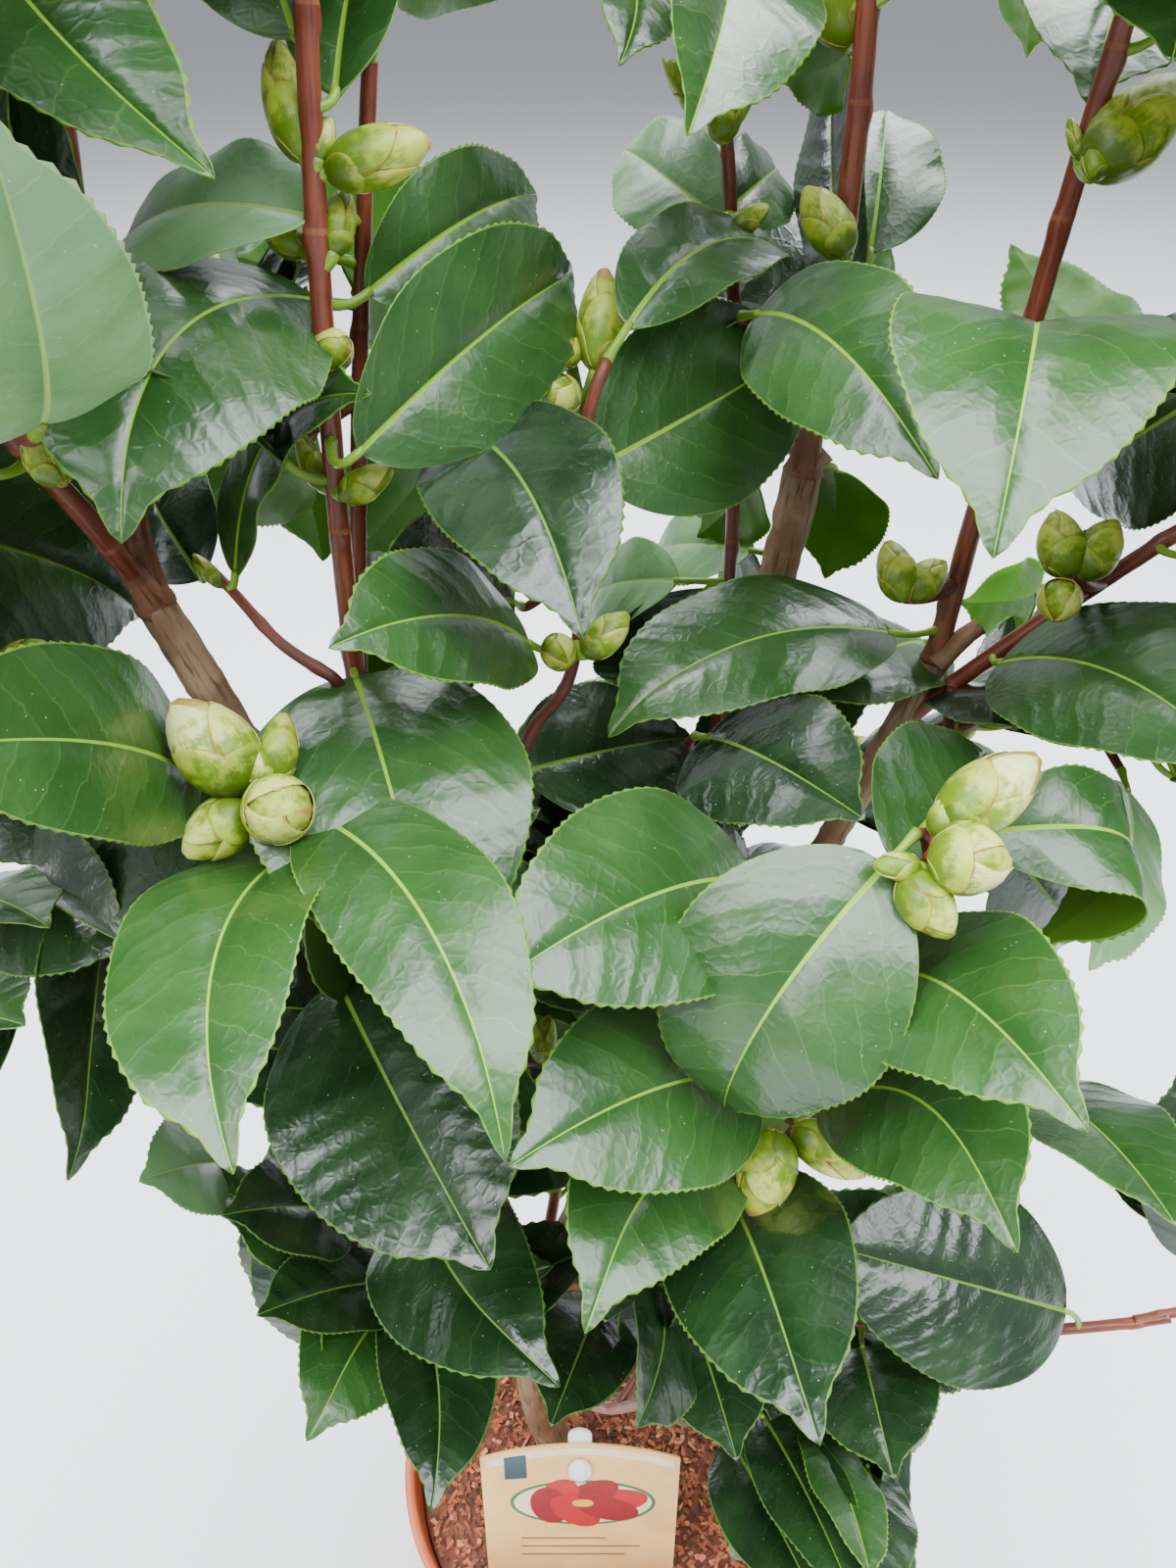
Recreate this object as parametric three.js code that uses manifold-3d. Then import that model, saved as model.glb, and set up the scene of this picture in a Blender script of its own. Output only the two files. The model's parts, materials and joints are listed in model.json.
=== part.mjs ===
// A young camellia shrub in a round nursery pot, with its plant label.
// Millimetres, +Z up, origin at the centre of the pot's flat underside.
// The front of the plant faces -Y.
import * as THREE from 'three';
import * as BufferGeometryUtils from 'three/addons/utils/BufferGeometryUtils.js';
import Module from 'manifold-3d';

const wasm = await Module();
wasm.setup();

// Driving dimensions
const GAP = 0.3;
const POT = {
  height: 150, rim: 85, base: 60, wall: 2.2, floor: 3, lip: 22, lipStep: 2.6, chamfer: 1.5, sides: 32,
};
const SOIL = { level: 138, dip: 5, rings: 4, flatAround: 24, waves: 3, wavePitch: 0.12, seed: 11 };
const TRUNK_FOOT = new THREE.Vector3(-12, 0, SOIL.level + GAP);
const STEM = {
  flareFade: 7, sides: 8, steps: 5, thinSides: 5, thinSteps: 4, thinBelow: 3.1, spaceSides: 4,
};
const LEAF_MASS = {
  detail: 2, waves: 4, swell: 0.13, slowest: 2, quicker: 1.6, tilt: 0.5, spin: 0.9, tidy: 0.1,
};
const LABEL = {
  width: 76, sideHeight: 82, arch: 9, thickness: 0.8, corner: 3, curveSteps: 5,
  foot: new THREE.Vector3(-7, -46, 146), lean: 0.1,
};
const STAKE = {
  width: 9, thickness: 1.6, above: 7, buried: 40, buttonWidth: 9, buttonHeight: 13, buttonDrop: 15,
};

const COLOURS = {
  pot: '#b9603f', compost: '#6a3a26', bark: '#6f5240', youngBark: '#6b2f22', card: '#c4a27c', stake: '#eceae2',
  leaves: ['#2c5a2e', '#34663a', '#274f2b', '#3d6f3c'],
};

// The woody framework. Each stem starts on the stem named in `from`, a fraction `at` of the way along it,
// and runs to `tip`. `bow` is how far its middle stands off the straight line.
const STEMS = {
  trunk: { tip: [-24, 5, 262], bow: [-9, 1, 0], radii: [6.8, 6], flare: 4 },
  stem_left: { from: 'trunk', at: 0.97, tip: [-102, -12, 578], bow: [8, -1.5, 0], radii: [5.3, 4.6] },
  stem_centre: { from: 'trunk', at: 0.97, tip: [52, 45, 587], bow: [8, 6, -8], radii: [5.6, 5.2] },
  stem_right: { from: 'stem_centre', at: 0.2, tip: [92, 33, 537], bow: [4, 0, -3], radii: [4.6, 4] },
  shoot_red: { from: 'stem_left', at: 0.5, tip: [-50, -14, 730], bow: [-6.5, -4.5, 0], radii: [2.8, 1.9] },
  shoot_red_back: { from: 'shoot_red', at: 0.42, tip: [-42, 16, 700], bow: [-2, 4, 0], radii: [2.1, 1.5] },
  shoot_far_left: { from: 'stem_left', at: 0.99, tip: [-128, -62, 672], bow: [6, -3, 0], radii: [2.6, 1.7] },
  shoot_left_top: { from: 'stem_left', at: 0.99, tip: [-98, 6, 704], bow: [-3, -2, 0], radii: [3.2, 2] },
  shoot_centre_top: { from: 'stem_centre', at: 0.99, tip: [52, 38, 732], bow: [4, 0, 0], radii: [3.2, 2.1] },
  shoot_thin: { from: 'stem_centre', at: 0.6, tip: [20, 54, 702], bow: [11, 13, 0], radii: [2.1, 1.5] },
  shoot_right_top: { from: 'stem_right', at: 0.99, tip: [103, 16, 736], bow: [0, 3, 0], radii: [2.9, 1.9] },
  shoot_right_out: { from: 'stem_right', at: 0.9, tip: [176, -4, 626], bow: [-2, 3, 0], radii: [2.5, 1.6] },
  shoot_bud_left: { from: 'stem_left', at: 0.4, tip: [-75, -47, 544], bow: [5, -9, -4], radii: [2.7, 2] },
  shoot_bud_right: { from: 'stem_centre', at: 0.4, tip: [66, -68, 540], bow: [-2, -16, -4], radii: [2.7, 2] },
  shoot_bud_front: { from: 'stem_centre', at: 0.1, tip: [44, -69, 446], bow: [-2, -12, -14], radii: [2.7, 2] },
  shoot_left_out: { from: 'stem_left', at: 0.7, tip: [-172, -28, 516], bow: [0, -4, -8], radii: [2.4, 1.6] },
  shoot_low_right: { from: 'stem_centre', at: 0.1, tip: [186, -40, 330], bow: [2, -8, -14], radii: [2.6, 1.8] },
  shoot_skirt_left: { from: 'trunk', at: 0.72, tip: [-90, -36, 326], bow: [-4, -4, -12], radii: [2.4, 1.8] },
  shoot_skirt_front: { from: 'trunk', at: 0.86, tip: [18, -60, 320], bow: [-2, -10, -10], radii: [2.4, 1.8] },
  shoot_skirt_right: { from: 'stem_centre', at: 0.06, tip: [86, -22, 318], bow: [6, -6, -10], radii: [2.4, 1.8] },
  shoot_back_left: { from: 'stem_left', at: 0.24, tip: [-80, 92, 560], bow: [-4, 16, -10], radii: [3, 1.9] },
  shoot_back_right: { from: 'stem_centre', at: 0.28, tip: [70, 114, 548], bow: [-4, 16, -10], radii: [3, 1.9] },
  shoot_back_low: { from: 'trunk', at: 0.9, tip: [0, 98, 366], bow: [0, 10, -14], radii: [2.6, 1.8] },
};

// The foliage. Each mass hangs round the stem named in `on`, a fraction `at` of the way along it, with its
// centre moved by `shift` and its half sizes in `reach`.
const MASSES = {
  leaves_top_far_left: { on: 'shoot_far_left', at: 0.85, shift: [-10, -8, 6], reach: [44, 34, 30] },
  leaves_top_left: { on: 'shoot_left_top', at: 0.84, shift: [-8, 14, 4], reach: [40, 34, 28] },
  leaves_top_red: { on: 'shoot_red', at: 0.93, shift: [2, 0, 0], reach: [34, 30, 28] },
  leaves_top_thin: { on: 'shoot_thin', at: 0.93, shift: [-12, 8, -2], reach: [28, 28, 26] },
  leaves_top_centre: { on: 'shoot_centre_top', at: 0.9, shift: [2, -2, 0], reach: [26, 29, 31] },
  leaves_top_right: { on: 'shoot_right_top', at: 0.86, shift: [16, 2, 2], reach: [36, 33, 33] },
  leaves_left_upper: { on: 'shoot_far_left', at: 0.16, shift: [-42, 4, -10], reach: [38, 34, 26] },
  leaves_left_shoulder: { on: 'shoot_left_top', at: 0.38, shift: [16, -22, 2], reach: [34, 30, 22] },
  leaves_middle_left: { on: 'shoot_red_back', at: 0.45, shift: [26, -6, -4], reach: [34, 30, 34] },
  leaves_middle_right: { on: 'shoot_centre_top', at: 0.26, shift: [-16, -12, 0], reach: [40, 32, 27] },
  leaves_right_upper: { on: 'shoot_right_top', at: 0.44, shift: [18, -20, 0], reach: [40, 35, 26] },
  leaves_right_edge: { on: 'shoot_right_out', at: 0.94, shift: [14, 4, -14], reach: [34, 31, 25] },
  leaves_centre: { on: 'stem_centre', at: 0.86, shift: [-24, -28, 8], reach: [42, 34, 25] },
  leaves_bud_left: { on: 'shoot_bud_left', at: 1, shift: [-2, -10, -16], reach: [66, 48, 28] },
  leaves_bud_right: { on: 'shoot_bud_right', at: 1, shift: [25, 6, -14], reach: [40, 40, 27] },
  leaves_front_middle: { on: 'shoot_bud_right', at: 0.8, shift: [-34, -20, -10], reach: [40, 35, 24] },
  leaves_left_low: { on: 'shoot_left_out', at: 0.72, shift: [-8, 0, -32], reach: [38, 30, 38] },
  leaves_front_left: { on: 'shoot_bud_left', at: 0.34, shift: [2, -24, -2], reach: [42, 32, 42] },
  leaves_inner: { on: 'stem_centre', at: 0.55, shift: [-22, 0, 16], reach: [34, 32, 32] },
  leaves_right_middle: { on: 'shoot_right_out', at: 0.45, shift: [10, 8, -40], reach: [42, 36, 30] },
  leaves_bud_front: { on: 'shoot_bud_front', at: 1, shift: [4, -10, -20], reach: [60, 42, 30] },
  leaves_low_right: { on: 'shoot_low_right', at: 1, shift: [-8, -2, 20], reach: [38, 36, 32] },
  leaves_skirt_left: { on: 'shoot_skirt_left', at: 0.94, shift: [10, -2, -20], reach: [38, 34, 42] },
  leaves_skirt_front: { on: 'shoot_skirt_front', at: 0.96, shift: [0, -4, 0], reach: [38, 29, 32] },
  leaves_skirt_right: { on: 'shoot_skirt_right', at: 0.94, shift: [4, -6, -58], reach: [44, 34, 66] },
  leaves_skirt_back: { on: 'shoot_back_low', at: 0.6, shift: [-4, 14, -26], reach: [48, 34, 38] },
  leaves_back_low: { on: 'shoot_back_low', at: 1, shift: [-8, 4, 32], reach: [42, 34, 38] },
  leaves_back_left: { on: 'shoot_back_left', at: 0.55, shift: [-26, 10, -8], reach: [42, 36, 40] },
  leaves_back_left_high: { on: 'shoot_back_left', at: 1, shift: [0, 2, 14], reach: [44, 36, 32] },
  leaves_back_right: { on: 'shoot_back_right', at: 0.58, shift: [34, 6, -14], reach: [42, 36, 40] },
  leaves_back_right_high: { on: 'shoot_back_right', at: 1, shift: [-2, 0, 4], reach: [46, 38, 38] },
};

// A repeatable random number maker, one per named piece
function seededRandom(seed) {
  let state = seed >>> 0;
  return () => {
    state = (state + 0x6d2b79f5) >>> 0;
    let mixed = Math.imul(state ^ (state >>> 15), 1 | state);
    mixed = (mixed + Math.imul(mixed ^ (mixed >>> 7), 61 | mixed)) ^ mixed;
    return ((mixed ^ (mixed >>> 14)) >>> 0) / 2 ** 32;
  };
}

// Geometry to solid and back, so that neighbours can be cut to fit each other
function toSolid(geometry) {
  geometry.deleteAttribute('normal');
  geometry.deleteAttribute('uv');
  const merged = BufferGeometryUtils.mergeVertices(geometry);
  return new wasm.Manifold(new wasm.Mesh({
    numProp: 3,
    vertProperties: new Float32Array(merged.attributes.position.array),
    triVerts: new Uint32Array(merged.index.array),
  }));
}

function toGeometry(solid) {
  const mesh = solid.getMesh();
  const geometry = new THREE.BufferGeometry();
  geometry.setAttribute('position', new THREE.BufferAttribute(new Float32Array(mesh.vertProperties), 3));
  geometry.setIndex(new THREE.BufferAttribute(new Uint32Array(mesh.triVerts), 1));
  return geometry;
}

function largestPiece(solid) {
  const pieces = solid.decompose();
  return pieces.reduce((best, piece) => (piece.volume() > best.volume() ? piece : best));
}

function nearEnough(one, other) {
  const a = one.boundingBox();
  const b = other.boundingBox();
  return [0, 1, 2].every((axis) => a.min[axis] <= b.max[axis] && b.min[axis] <= a.max[axis]);
}

function cutBy(solid, cutters) {
  const touching = cutters.filter((cutter) => nearEnough(solid, cutter));
  const cut = touching.reduce((rest, cutter) => rest.subtract(cutter), solid);
  return largestPiece(cut);
}

// Where the foot, middle and tip of every stem lie
function stemCurves() {
  const curves = {};
  for (const [name, stem] of Object.entries(STEMS)) {
    const foot = stem.from ? curves[stem.from].getPoint(stem.at) : TRUNK_FOOT.clone();
    const tip = new THREE.Vector3(...stem.tip);
    const bend = foot.clone().add(tip).multiplyScalar(0.5).addScaledVector(new THREE.Vector3(...stem.bow), 2);
    curves[name] = new THREE.QuadraticBezierCurve3(foot, bend, tip);
  }
  return curves;
}

// A stem is a tapering round bar, turned about an axis and then bent along its curve. `grow` makes the
// four-sided space round it instead, that much clear of it, which is cut from its neighbours.
function stemGeometry(stem, curve, grow) {
  const thin = stem.radii[0] < STEM.thinBelow;
  const steps = thin ? STEM.thinSteps : STEM.steps;
  const roundSides = thin ? STEM.thinSides : STEM.sides;
  const sides = grow ? STEM.spaceSides : roundSides;
  const spread = grow ? 1 / Math.cos(Math.PI / sides) : 1;
  const profile = [new THREE.Vector2(0, 0)];
  for (let step = 0; step <= steps; step += 1) {
    const along = step / steps;
    const flare = (stem.flare ?? 0) * Math.exp(-STEM.flareFade * along);
    const radius = THREE.MathUtils.lerp(...stem.radii, along) + flare + grow;
    profile.push(new THREE.Vector2(radius * spread, along));
  }
  profile.push(new THREE.Vector2(0, 1));
  const geometry = new THREE.LatheGeometry(profile, sides);
  const position = geometry.attributes.position;
  const front = new THREE.Vector3(0, 1, 0);
  const point = new THREE.Vector3();
  for (let index = 0; index < position.count; index += 1) {
    point.fromBufferAttribute(position, index);
    const along = point.y;
    const level = !stem.from && along === 0;
    const tangent = level ? new THREE.Vector3(0, 0, 1) : curve.getTangent(along);
    const side = front.clone().cross(tangent).normalize();
    const depth = side.clone().cross(tangent);
    const end = along === 1 ? grow : 0;
    const place = curve.getPoint(along).addScaledVector(tangent, end);
    place.addScaledVector(side, point.x).addScaledVector(depth, point.z);
    position.setXYZ(index, place.x, place.y, place.z);
  }
  return geometry;
}

// A mass of leaves is a round body swollen and pinched by a few broad waves, so that no two are alike
function massGeometry(mass, centre, seed, grow) {
  const random = seededRandom(seed);
  const reach = new THREE.Vector3(...mass.reach);
  const waves = [];
  for (let wave = 0; wave < LEAF_MASS.waves; wave += 1) {
    const push = new THREE.Vector3(random() - 0.5, random() - 0.5, random() - 0.5).normalize();
    push.multiplyScalar(LEAF_MASS.slowest + LEAF_MASS.quicker * wave);
    waves.push({ push, phase: 2 * Math.PI * random() });
  }
  const geometry = new THREE.IcosahedronGeometry(1, LEAF_MASS.detail);
  const turned = (range) => range * (random() - 0.5);
  const turn = new THREE.Euler(turned(LEAF_MASS.tilt), turned(LEAF_MASS.tilt), turned(LEAF_MASS.spin));
  const position = geometry.attributes.position;
  const way = new THREE.Vector3();
  for (let index = 0; index < position.count; index += 1) {
    way.fromBufferAttribute(position, index).normalize();
    const uneven = waves.reduce((sum, wave) => sum + Math.sin(wave.push.dot(way) + wave.phase), 0);
    const place = way.clone().multiplyScalar(1 + LEAF_MASS.swell * uneven).multiply(reach);
    place.addScaledVector(way, grow);
    place.applyEuler(turn).add(centre);
    position.setXYZ(index, place.x, place.y, place.z);
  }
  return geometry;
}

// The pot: a thin tapering wall with a stepped lip and a flat underside
function potRadius(height) {
  return THREE.MathUtils.lerp(POT.base, POT.rim - POT.lipStep, height / POT.height);
}

function turnedAboutZ(profile) {
  const points = profile.map(([radius, height]) => new THREE.Vector2(radius, height));
  return new THREE.LatheGeometry(points, POT.sides).rotateX(Math.PI / 2);
}

function potGeometry() {
  const lipFoot = POT.height - POT.lip;
  const inner = (height) => potRadius(height) - POT.wall;
  const profile = [
    [0, 0],
    [POT.base - POT.chamfer, 0],
    [potRadius(POT.chamfer), POT.chamfer],
    [potRadius(lipFoot), lipFoot],
    [potRadius(lipFoot) + POT.lipStep, lipFoot + POT.chamfer],
    [POT.rim, POT.height - POT.chamfer],
    [POT.rim - POT.chamfer / 2, POT.height],
    [inner(POT.height) + POT.chamfer / 2, POT.height],
    [inner(POT.height), POT.height - POT.chamfer],
    [inner(POT.floor), POT.floor],
    [0, POT.floor],
  ];
  return turnedAboutZ(profile);
}

// The compost fills the pot to just below its lip, with an uneven top that dips here and there
function compostGeometry() {
  const foot = POT.floor + GAP;
  const inner = (height) => potRadius(height) - POT.wall - GAP;
  const edge = inner(SOIL.level - SOIL.dip);
  const profile = [[0, foot], [inner(foot) - POT.chamfer, foot]];
  for (let ring = SOIL.rings; ring >= 0; ring -= 1) {
    profile.push([edge * ring / SOIL.rings, SOIL.level]);
  }
  const geometry = turnedAboutZ(profile);
  const position = geometry.attributes.position;
  const random = seededRandom(SOIL.seed);
  const pitch = () => SOIL.wavePitch * (random() - 0.5);
  const waves = [];
  for (let wave = 0; wave < SOIL.waves; wave += 1) {
    waves.push({ across: pitch(), along: pitch(), phase: 2 * Math.PI * random() });
  }
  for (let index = 0; index < position.count; index += 1) {
    const x = position.getX(index);
    const y = position.getY(index);
    if (position.getZ(index) > SOIL.level - GAP) {
      const away = Math.hypot(x - TRUNK_FOOT.x, y - TRUNK_FOOT.y);
      const level = (wave) => Math.sin(wave.across * x + wave.along * y + wave.phase);
      const rough = 0.5 + waves.reduce((sum, wave) => sum + level(wave), 0) / (2 * SOIL.waves);
      const dip = SOIL.dip * rough * THREE.MathUtils.smoothstep(away, SOIL.flatAround, POT.base);
      position.setZ(index, SOIL.level - dip);
    }
  }
  return geometry;
}

// The label: a thin card with an arched top, held by a flat stake whose button comes through a slot in it
function buttonShape(width, height) {
  const shape = new THREE.Shape();
  shape.absellipse(0, 0, width / 2, height / 2, 0, 2 * Math.PI);
  return shape;
}

function slab(shape, thickness, front) {
  const settings = { depth: thickness, bevelEnabled: false, curveSegments: LABEL.curveSteps };
  const geometry = new THREE.ExtrudeGeometry(shape, settings);
  geometry.rotateX(Math.PI / 2);
  return toSolid(geometry.translate(0, front + thickness, 0));
}

function placeLabel(solid) {
  const turned = solid.rotate([THREE.MathUtils.radToDeg(-LABEL.lean), 0, 0]);
  return turned.translate(LABEL.foot.toArray());
}

const buttonHeight = LABEL.sideHeight + LABEL.arch - STAKE.buttonDrop;

function cardSolid() {
  const half = LABEL.width / 2;
  const shape = new THREE.Shape();
  shape.moveTo(-half + LABEL.corner, 0);
  shape.lineTo(half - LABEL.corner, 0);
  shape.quadraticCurveTo(half, 0, half, LABEL.corner);
  shape.lineTo(half, LABEL.sideHeight);
  shape.quadraticCurveTo(0, LABEL.sideHeight + 2 * LABEL.arch, -half, LABEL.sideHeight);
  shape.lineTo(-half, LABEL.corner);
  shape.quadraticCurveTo(-half, 0, -half + LABEL.corner, 0);
  const slotShape = buttonShape(STAKE.width / 2 + 2 * GAP, STAKE.width + 2 * GAP);
  const slot = slab(slotShape, 4 * LABEL.thickness, -2 * LABEL.thickness).translate([0, 0, buttonHeight]);
  return placeLabel(slab(shape, LABEL.thickness, 0).subtract(slot));
}

function stakeSolid(grow) {
  const half = STAKE.width / 2 + grow;
  const top = LABEL.sideHeight + LABEL.arch + STAKE.above;
  const back = LABEL.thickness + GAP;
  const shape = new THREE.Shape();
  shape.moveTo(0, -STAKE.buried - grow);
  shape.lineTo(half, 2 * half - STAKE.buried - grow);
  shape.lineTo(half, top - half);
  shape.quadraticCurveTo(half, top, 0, top);
  shape.quadraticCurveTo(-half, top, -half, top - half);
  shape.lineTo(-half, 2 * half - STAKE.buried - grow);
  const strip = slab(shape, STAKE.thickness + 2 * grow, back - grow);
  const pegLength = STAKE.thickness + LABEL.thickness + 2 * GAP;
  const peg = slab(buttonShape(STAKE.width / 2, STAKE.width), pegLength, -2 * GAP);
  const buttonOutline = buttonShape(STAKE.buttonWidth, STAKE.buttonHeight);
  const button = slab(buttonOutline, STAKE.thickness, -GAP - STAKE.thickness);
  return placeLabel(strip.add(peg.add(button).translate([0, 0, buttonHeight])));
}

// Put together
const shrub = new THREE.Group();

function addMesh(name, geometry, color, roughness, metalness = 0) {
  const mesh = new THREE.Mesh(geometry, new THREE.MeshStandardMaterial({ color, roughness, metalness }));
  mesh.name = name;
  shrub.add(mesh);
}

function addStems(curves) {
  const grown = {};
  for (const [name, stem] of Object.entries(STEMS)) {
    const solid = cutBy(toSolid(stemGeometry(stem, curves[name], 0)), Object.values(grown));
    grown[name] = toSolid(stemGeometry(stem, curves[name], GAP));
    const color = stem.radii[0] < STEM.thinBelow ? COLOURS.youngBark : COLOURS.bark;
    addMesh(name, toGeometry(solid), color, 0.75);
  }
  return Object.values(grown);
}

function addMasses(curves, stemSpaces) {
  const taken = [...stemSpaces];
  Object.entries(MASSES).forEach(([name, mass], index) => {
    const centre = curves[mass.on].getPoint(mass.at).add(new THREE.Vector3(...mass.shift));
    const solid = cutBy(toSolid(massGeometry(mass, centre, index + 1, 0)), taken).simplify(LEAF_MASS.tidy);
    taken.push(toSolid(massGeometry(mass, centre, index + 1, GAP)));
    addMesh(name, toGeometry(solid), COLOURS.leaves[index % COLOURS.leaves.length], 0.45);
  });
}

const curves = stemCurves();
addMesh('pot', potGeometry(), COLOURS.pot, 0.6);
addMesh('compost', toGeometry(toSolid(compostGeometry()).subtract(stakeSolid(GAP))), COLOURS.compost, 0.95);
addMesh('label_card', toGeometry(cardSolid()), COLOURS.card, 0.8);
addMesh('label_stake', toGeometry(stakeSolid(0)), COLOURS.stake, 0.5);
addMasses(curves, addStems(curves));

export default shrub;
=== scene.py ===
"""A potted camellia shrub in winter bud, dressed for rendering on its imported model."""
import json
import logging
import math
from collections.abc import Callable, Sequence
from dataclasses import dataclass, field, fields
from enum import Enum

import bpy
import numpy as np
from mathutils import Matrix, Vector

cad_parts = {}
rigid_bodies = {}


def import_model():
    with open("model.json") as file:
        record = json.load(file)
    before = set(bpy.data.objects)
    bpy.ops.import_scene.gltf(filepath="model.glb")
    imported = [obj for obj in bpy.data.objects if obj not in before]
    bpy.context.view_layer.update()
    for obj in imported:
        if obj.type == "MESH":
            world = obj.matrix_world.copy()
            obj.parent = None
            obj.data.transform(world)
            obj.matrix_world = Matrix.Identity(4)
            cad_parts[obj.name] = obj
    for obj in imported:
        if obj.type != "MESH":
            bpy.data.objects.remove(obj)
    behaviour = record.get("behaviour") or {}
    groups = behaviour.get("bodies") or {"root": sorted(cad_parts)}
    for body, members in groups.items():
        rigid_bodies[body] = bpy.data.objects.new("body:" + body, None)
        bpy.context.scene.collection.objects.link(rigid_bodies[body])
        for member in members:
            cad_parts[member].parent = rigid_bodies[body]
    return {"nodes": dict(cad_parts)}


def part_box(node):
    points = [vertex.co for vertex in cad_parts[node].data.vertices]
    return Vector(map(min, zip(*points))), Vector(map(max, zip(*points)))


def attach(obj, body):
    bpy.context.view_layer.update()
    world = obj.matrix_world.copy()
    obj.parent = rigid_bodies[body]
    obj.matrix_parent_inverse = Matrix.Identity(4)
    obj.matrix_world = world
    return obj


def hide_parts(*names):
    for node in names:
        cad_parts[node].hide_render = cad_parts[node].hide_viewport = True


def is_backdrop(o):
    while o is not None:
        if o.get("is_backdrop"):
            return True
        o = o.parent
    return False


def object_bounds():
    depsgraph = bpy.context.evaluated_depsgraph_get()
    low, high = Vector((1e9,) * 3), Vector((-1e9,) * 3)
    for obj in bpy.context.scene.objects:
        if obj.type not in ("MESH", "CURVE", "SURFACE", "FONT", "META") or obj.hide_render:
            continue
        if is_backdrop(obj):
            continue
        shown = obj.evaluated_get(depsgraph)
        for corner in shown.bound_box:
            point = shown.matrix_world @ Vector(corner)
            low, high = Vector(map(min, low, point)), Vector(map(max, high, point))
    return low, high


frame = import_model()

MM = 0.001
GOLDEN_TURN = math.radians(137.5)
BODY = "root"
LEAF_MAP = "leaf"
LIMB_MAP = "limb"

log = logging.getLogger("camellia")

Array = np.ndarray
Material = bpy.types.Material
Socket = bpy.types.NodeSocket
Colour = tuple[int, int, int]
Place = tuple[float, float, float]
Pixel = tuple[float, float]


# Small helpers


def unit(vector: Array) -> Array:
    """Returns the vector at length one."""
    return vector / max(float(np.linalg.norm(vector)), 1e-12)


def rotation(angle: float, first: int, second: int) -> Array:
    """Returns the matrix that turns one axis towards another."""
    matrix = np.eye(3)
    matrix[[first, second], [first, second]] = math.cos(angle)
    matrix[second, first], matrix[first, second] = math.sin(angle), -math.sin(angle)
    return matrix


def in_mm(box: Sequence[Place]) -> tuple[Array, Array]:
    """Returns the low and the high corner of a box in millimetres."""
    return np.array(box[0]) / MM, np.array(box[1]) / MM


def smooth_step(low: float, high: float, value: Array) -> Array:
    """Returns 0 below low, 1 above high and an eased blend between them."""
    share = np.clip((value - low) / (high - low), 0, 1)
    return share * share * (3 - 2 * share)


def linear(colour: Colour) -> tuple[float, float, float, float]:
    """Turns a screen colour of 0 to 255 into the linear one that shaders take."""
    shares = (part / 255 for part in colour)
    return (*(((s + 0.055) / 1.055) ** 2.4 if s > 0.04045 else s / 12.92 for s in shares), 1.0)


def select_only(piece: bpy.types.Object | None = None) -> None:
    """Leaves object mode with only the piece selected and active, or with nothing selected."""
    if bpy.context.object and bpy.context.object.mode != "OBJECT":
        bpy.ops.object.mode_set(mode="OBJECT")
    bpy.ops.object.select_all(action="DESELECT")
    if piece:
        piece.select_set(True)
        bpy.context.view_layer.objects.active = piece


def register(piece: bpy.types.Object, nodes: Sequence[str] = ()) -> None:
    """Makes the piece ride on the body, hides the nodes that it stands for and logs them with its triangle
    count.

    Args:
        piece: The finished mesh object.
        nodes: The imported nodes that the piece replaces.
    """
    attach(piece, BODY)
    if nodes:
        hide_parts(*nodes)
    triangles = len(piece.data.loops) - 2 * len(piece.data.polygons)
    log.info("%s: %d triangles, stands for %s", piece.name, triangles, ", ".join(nodes) or "none")


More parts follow.
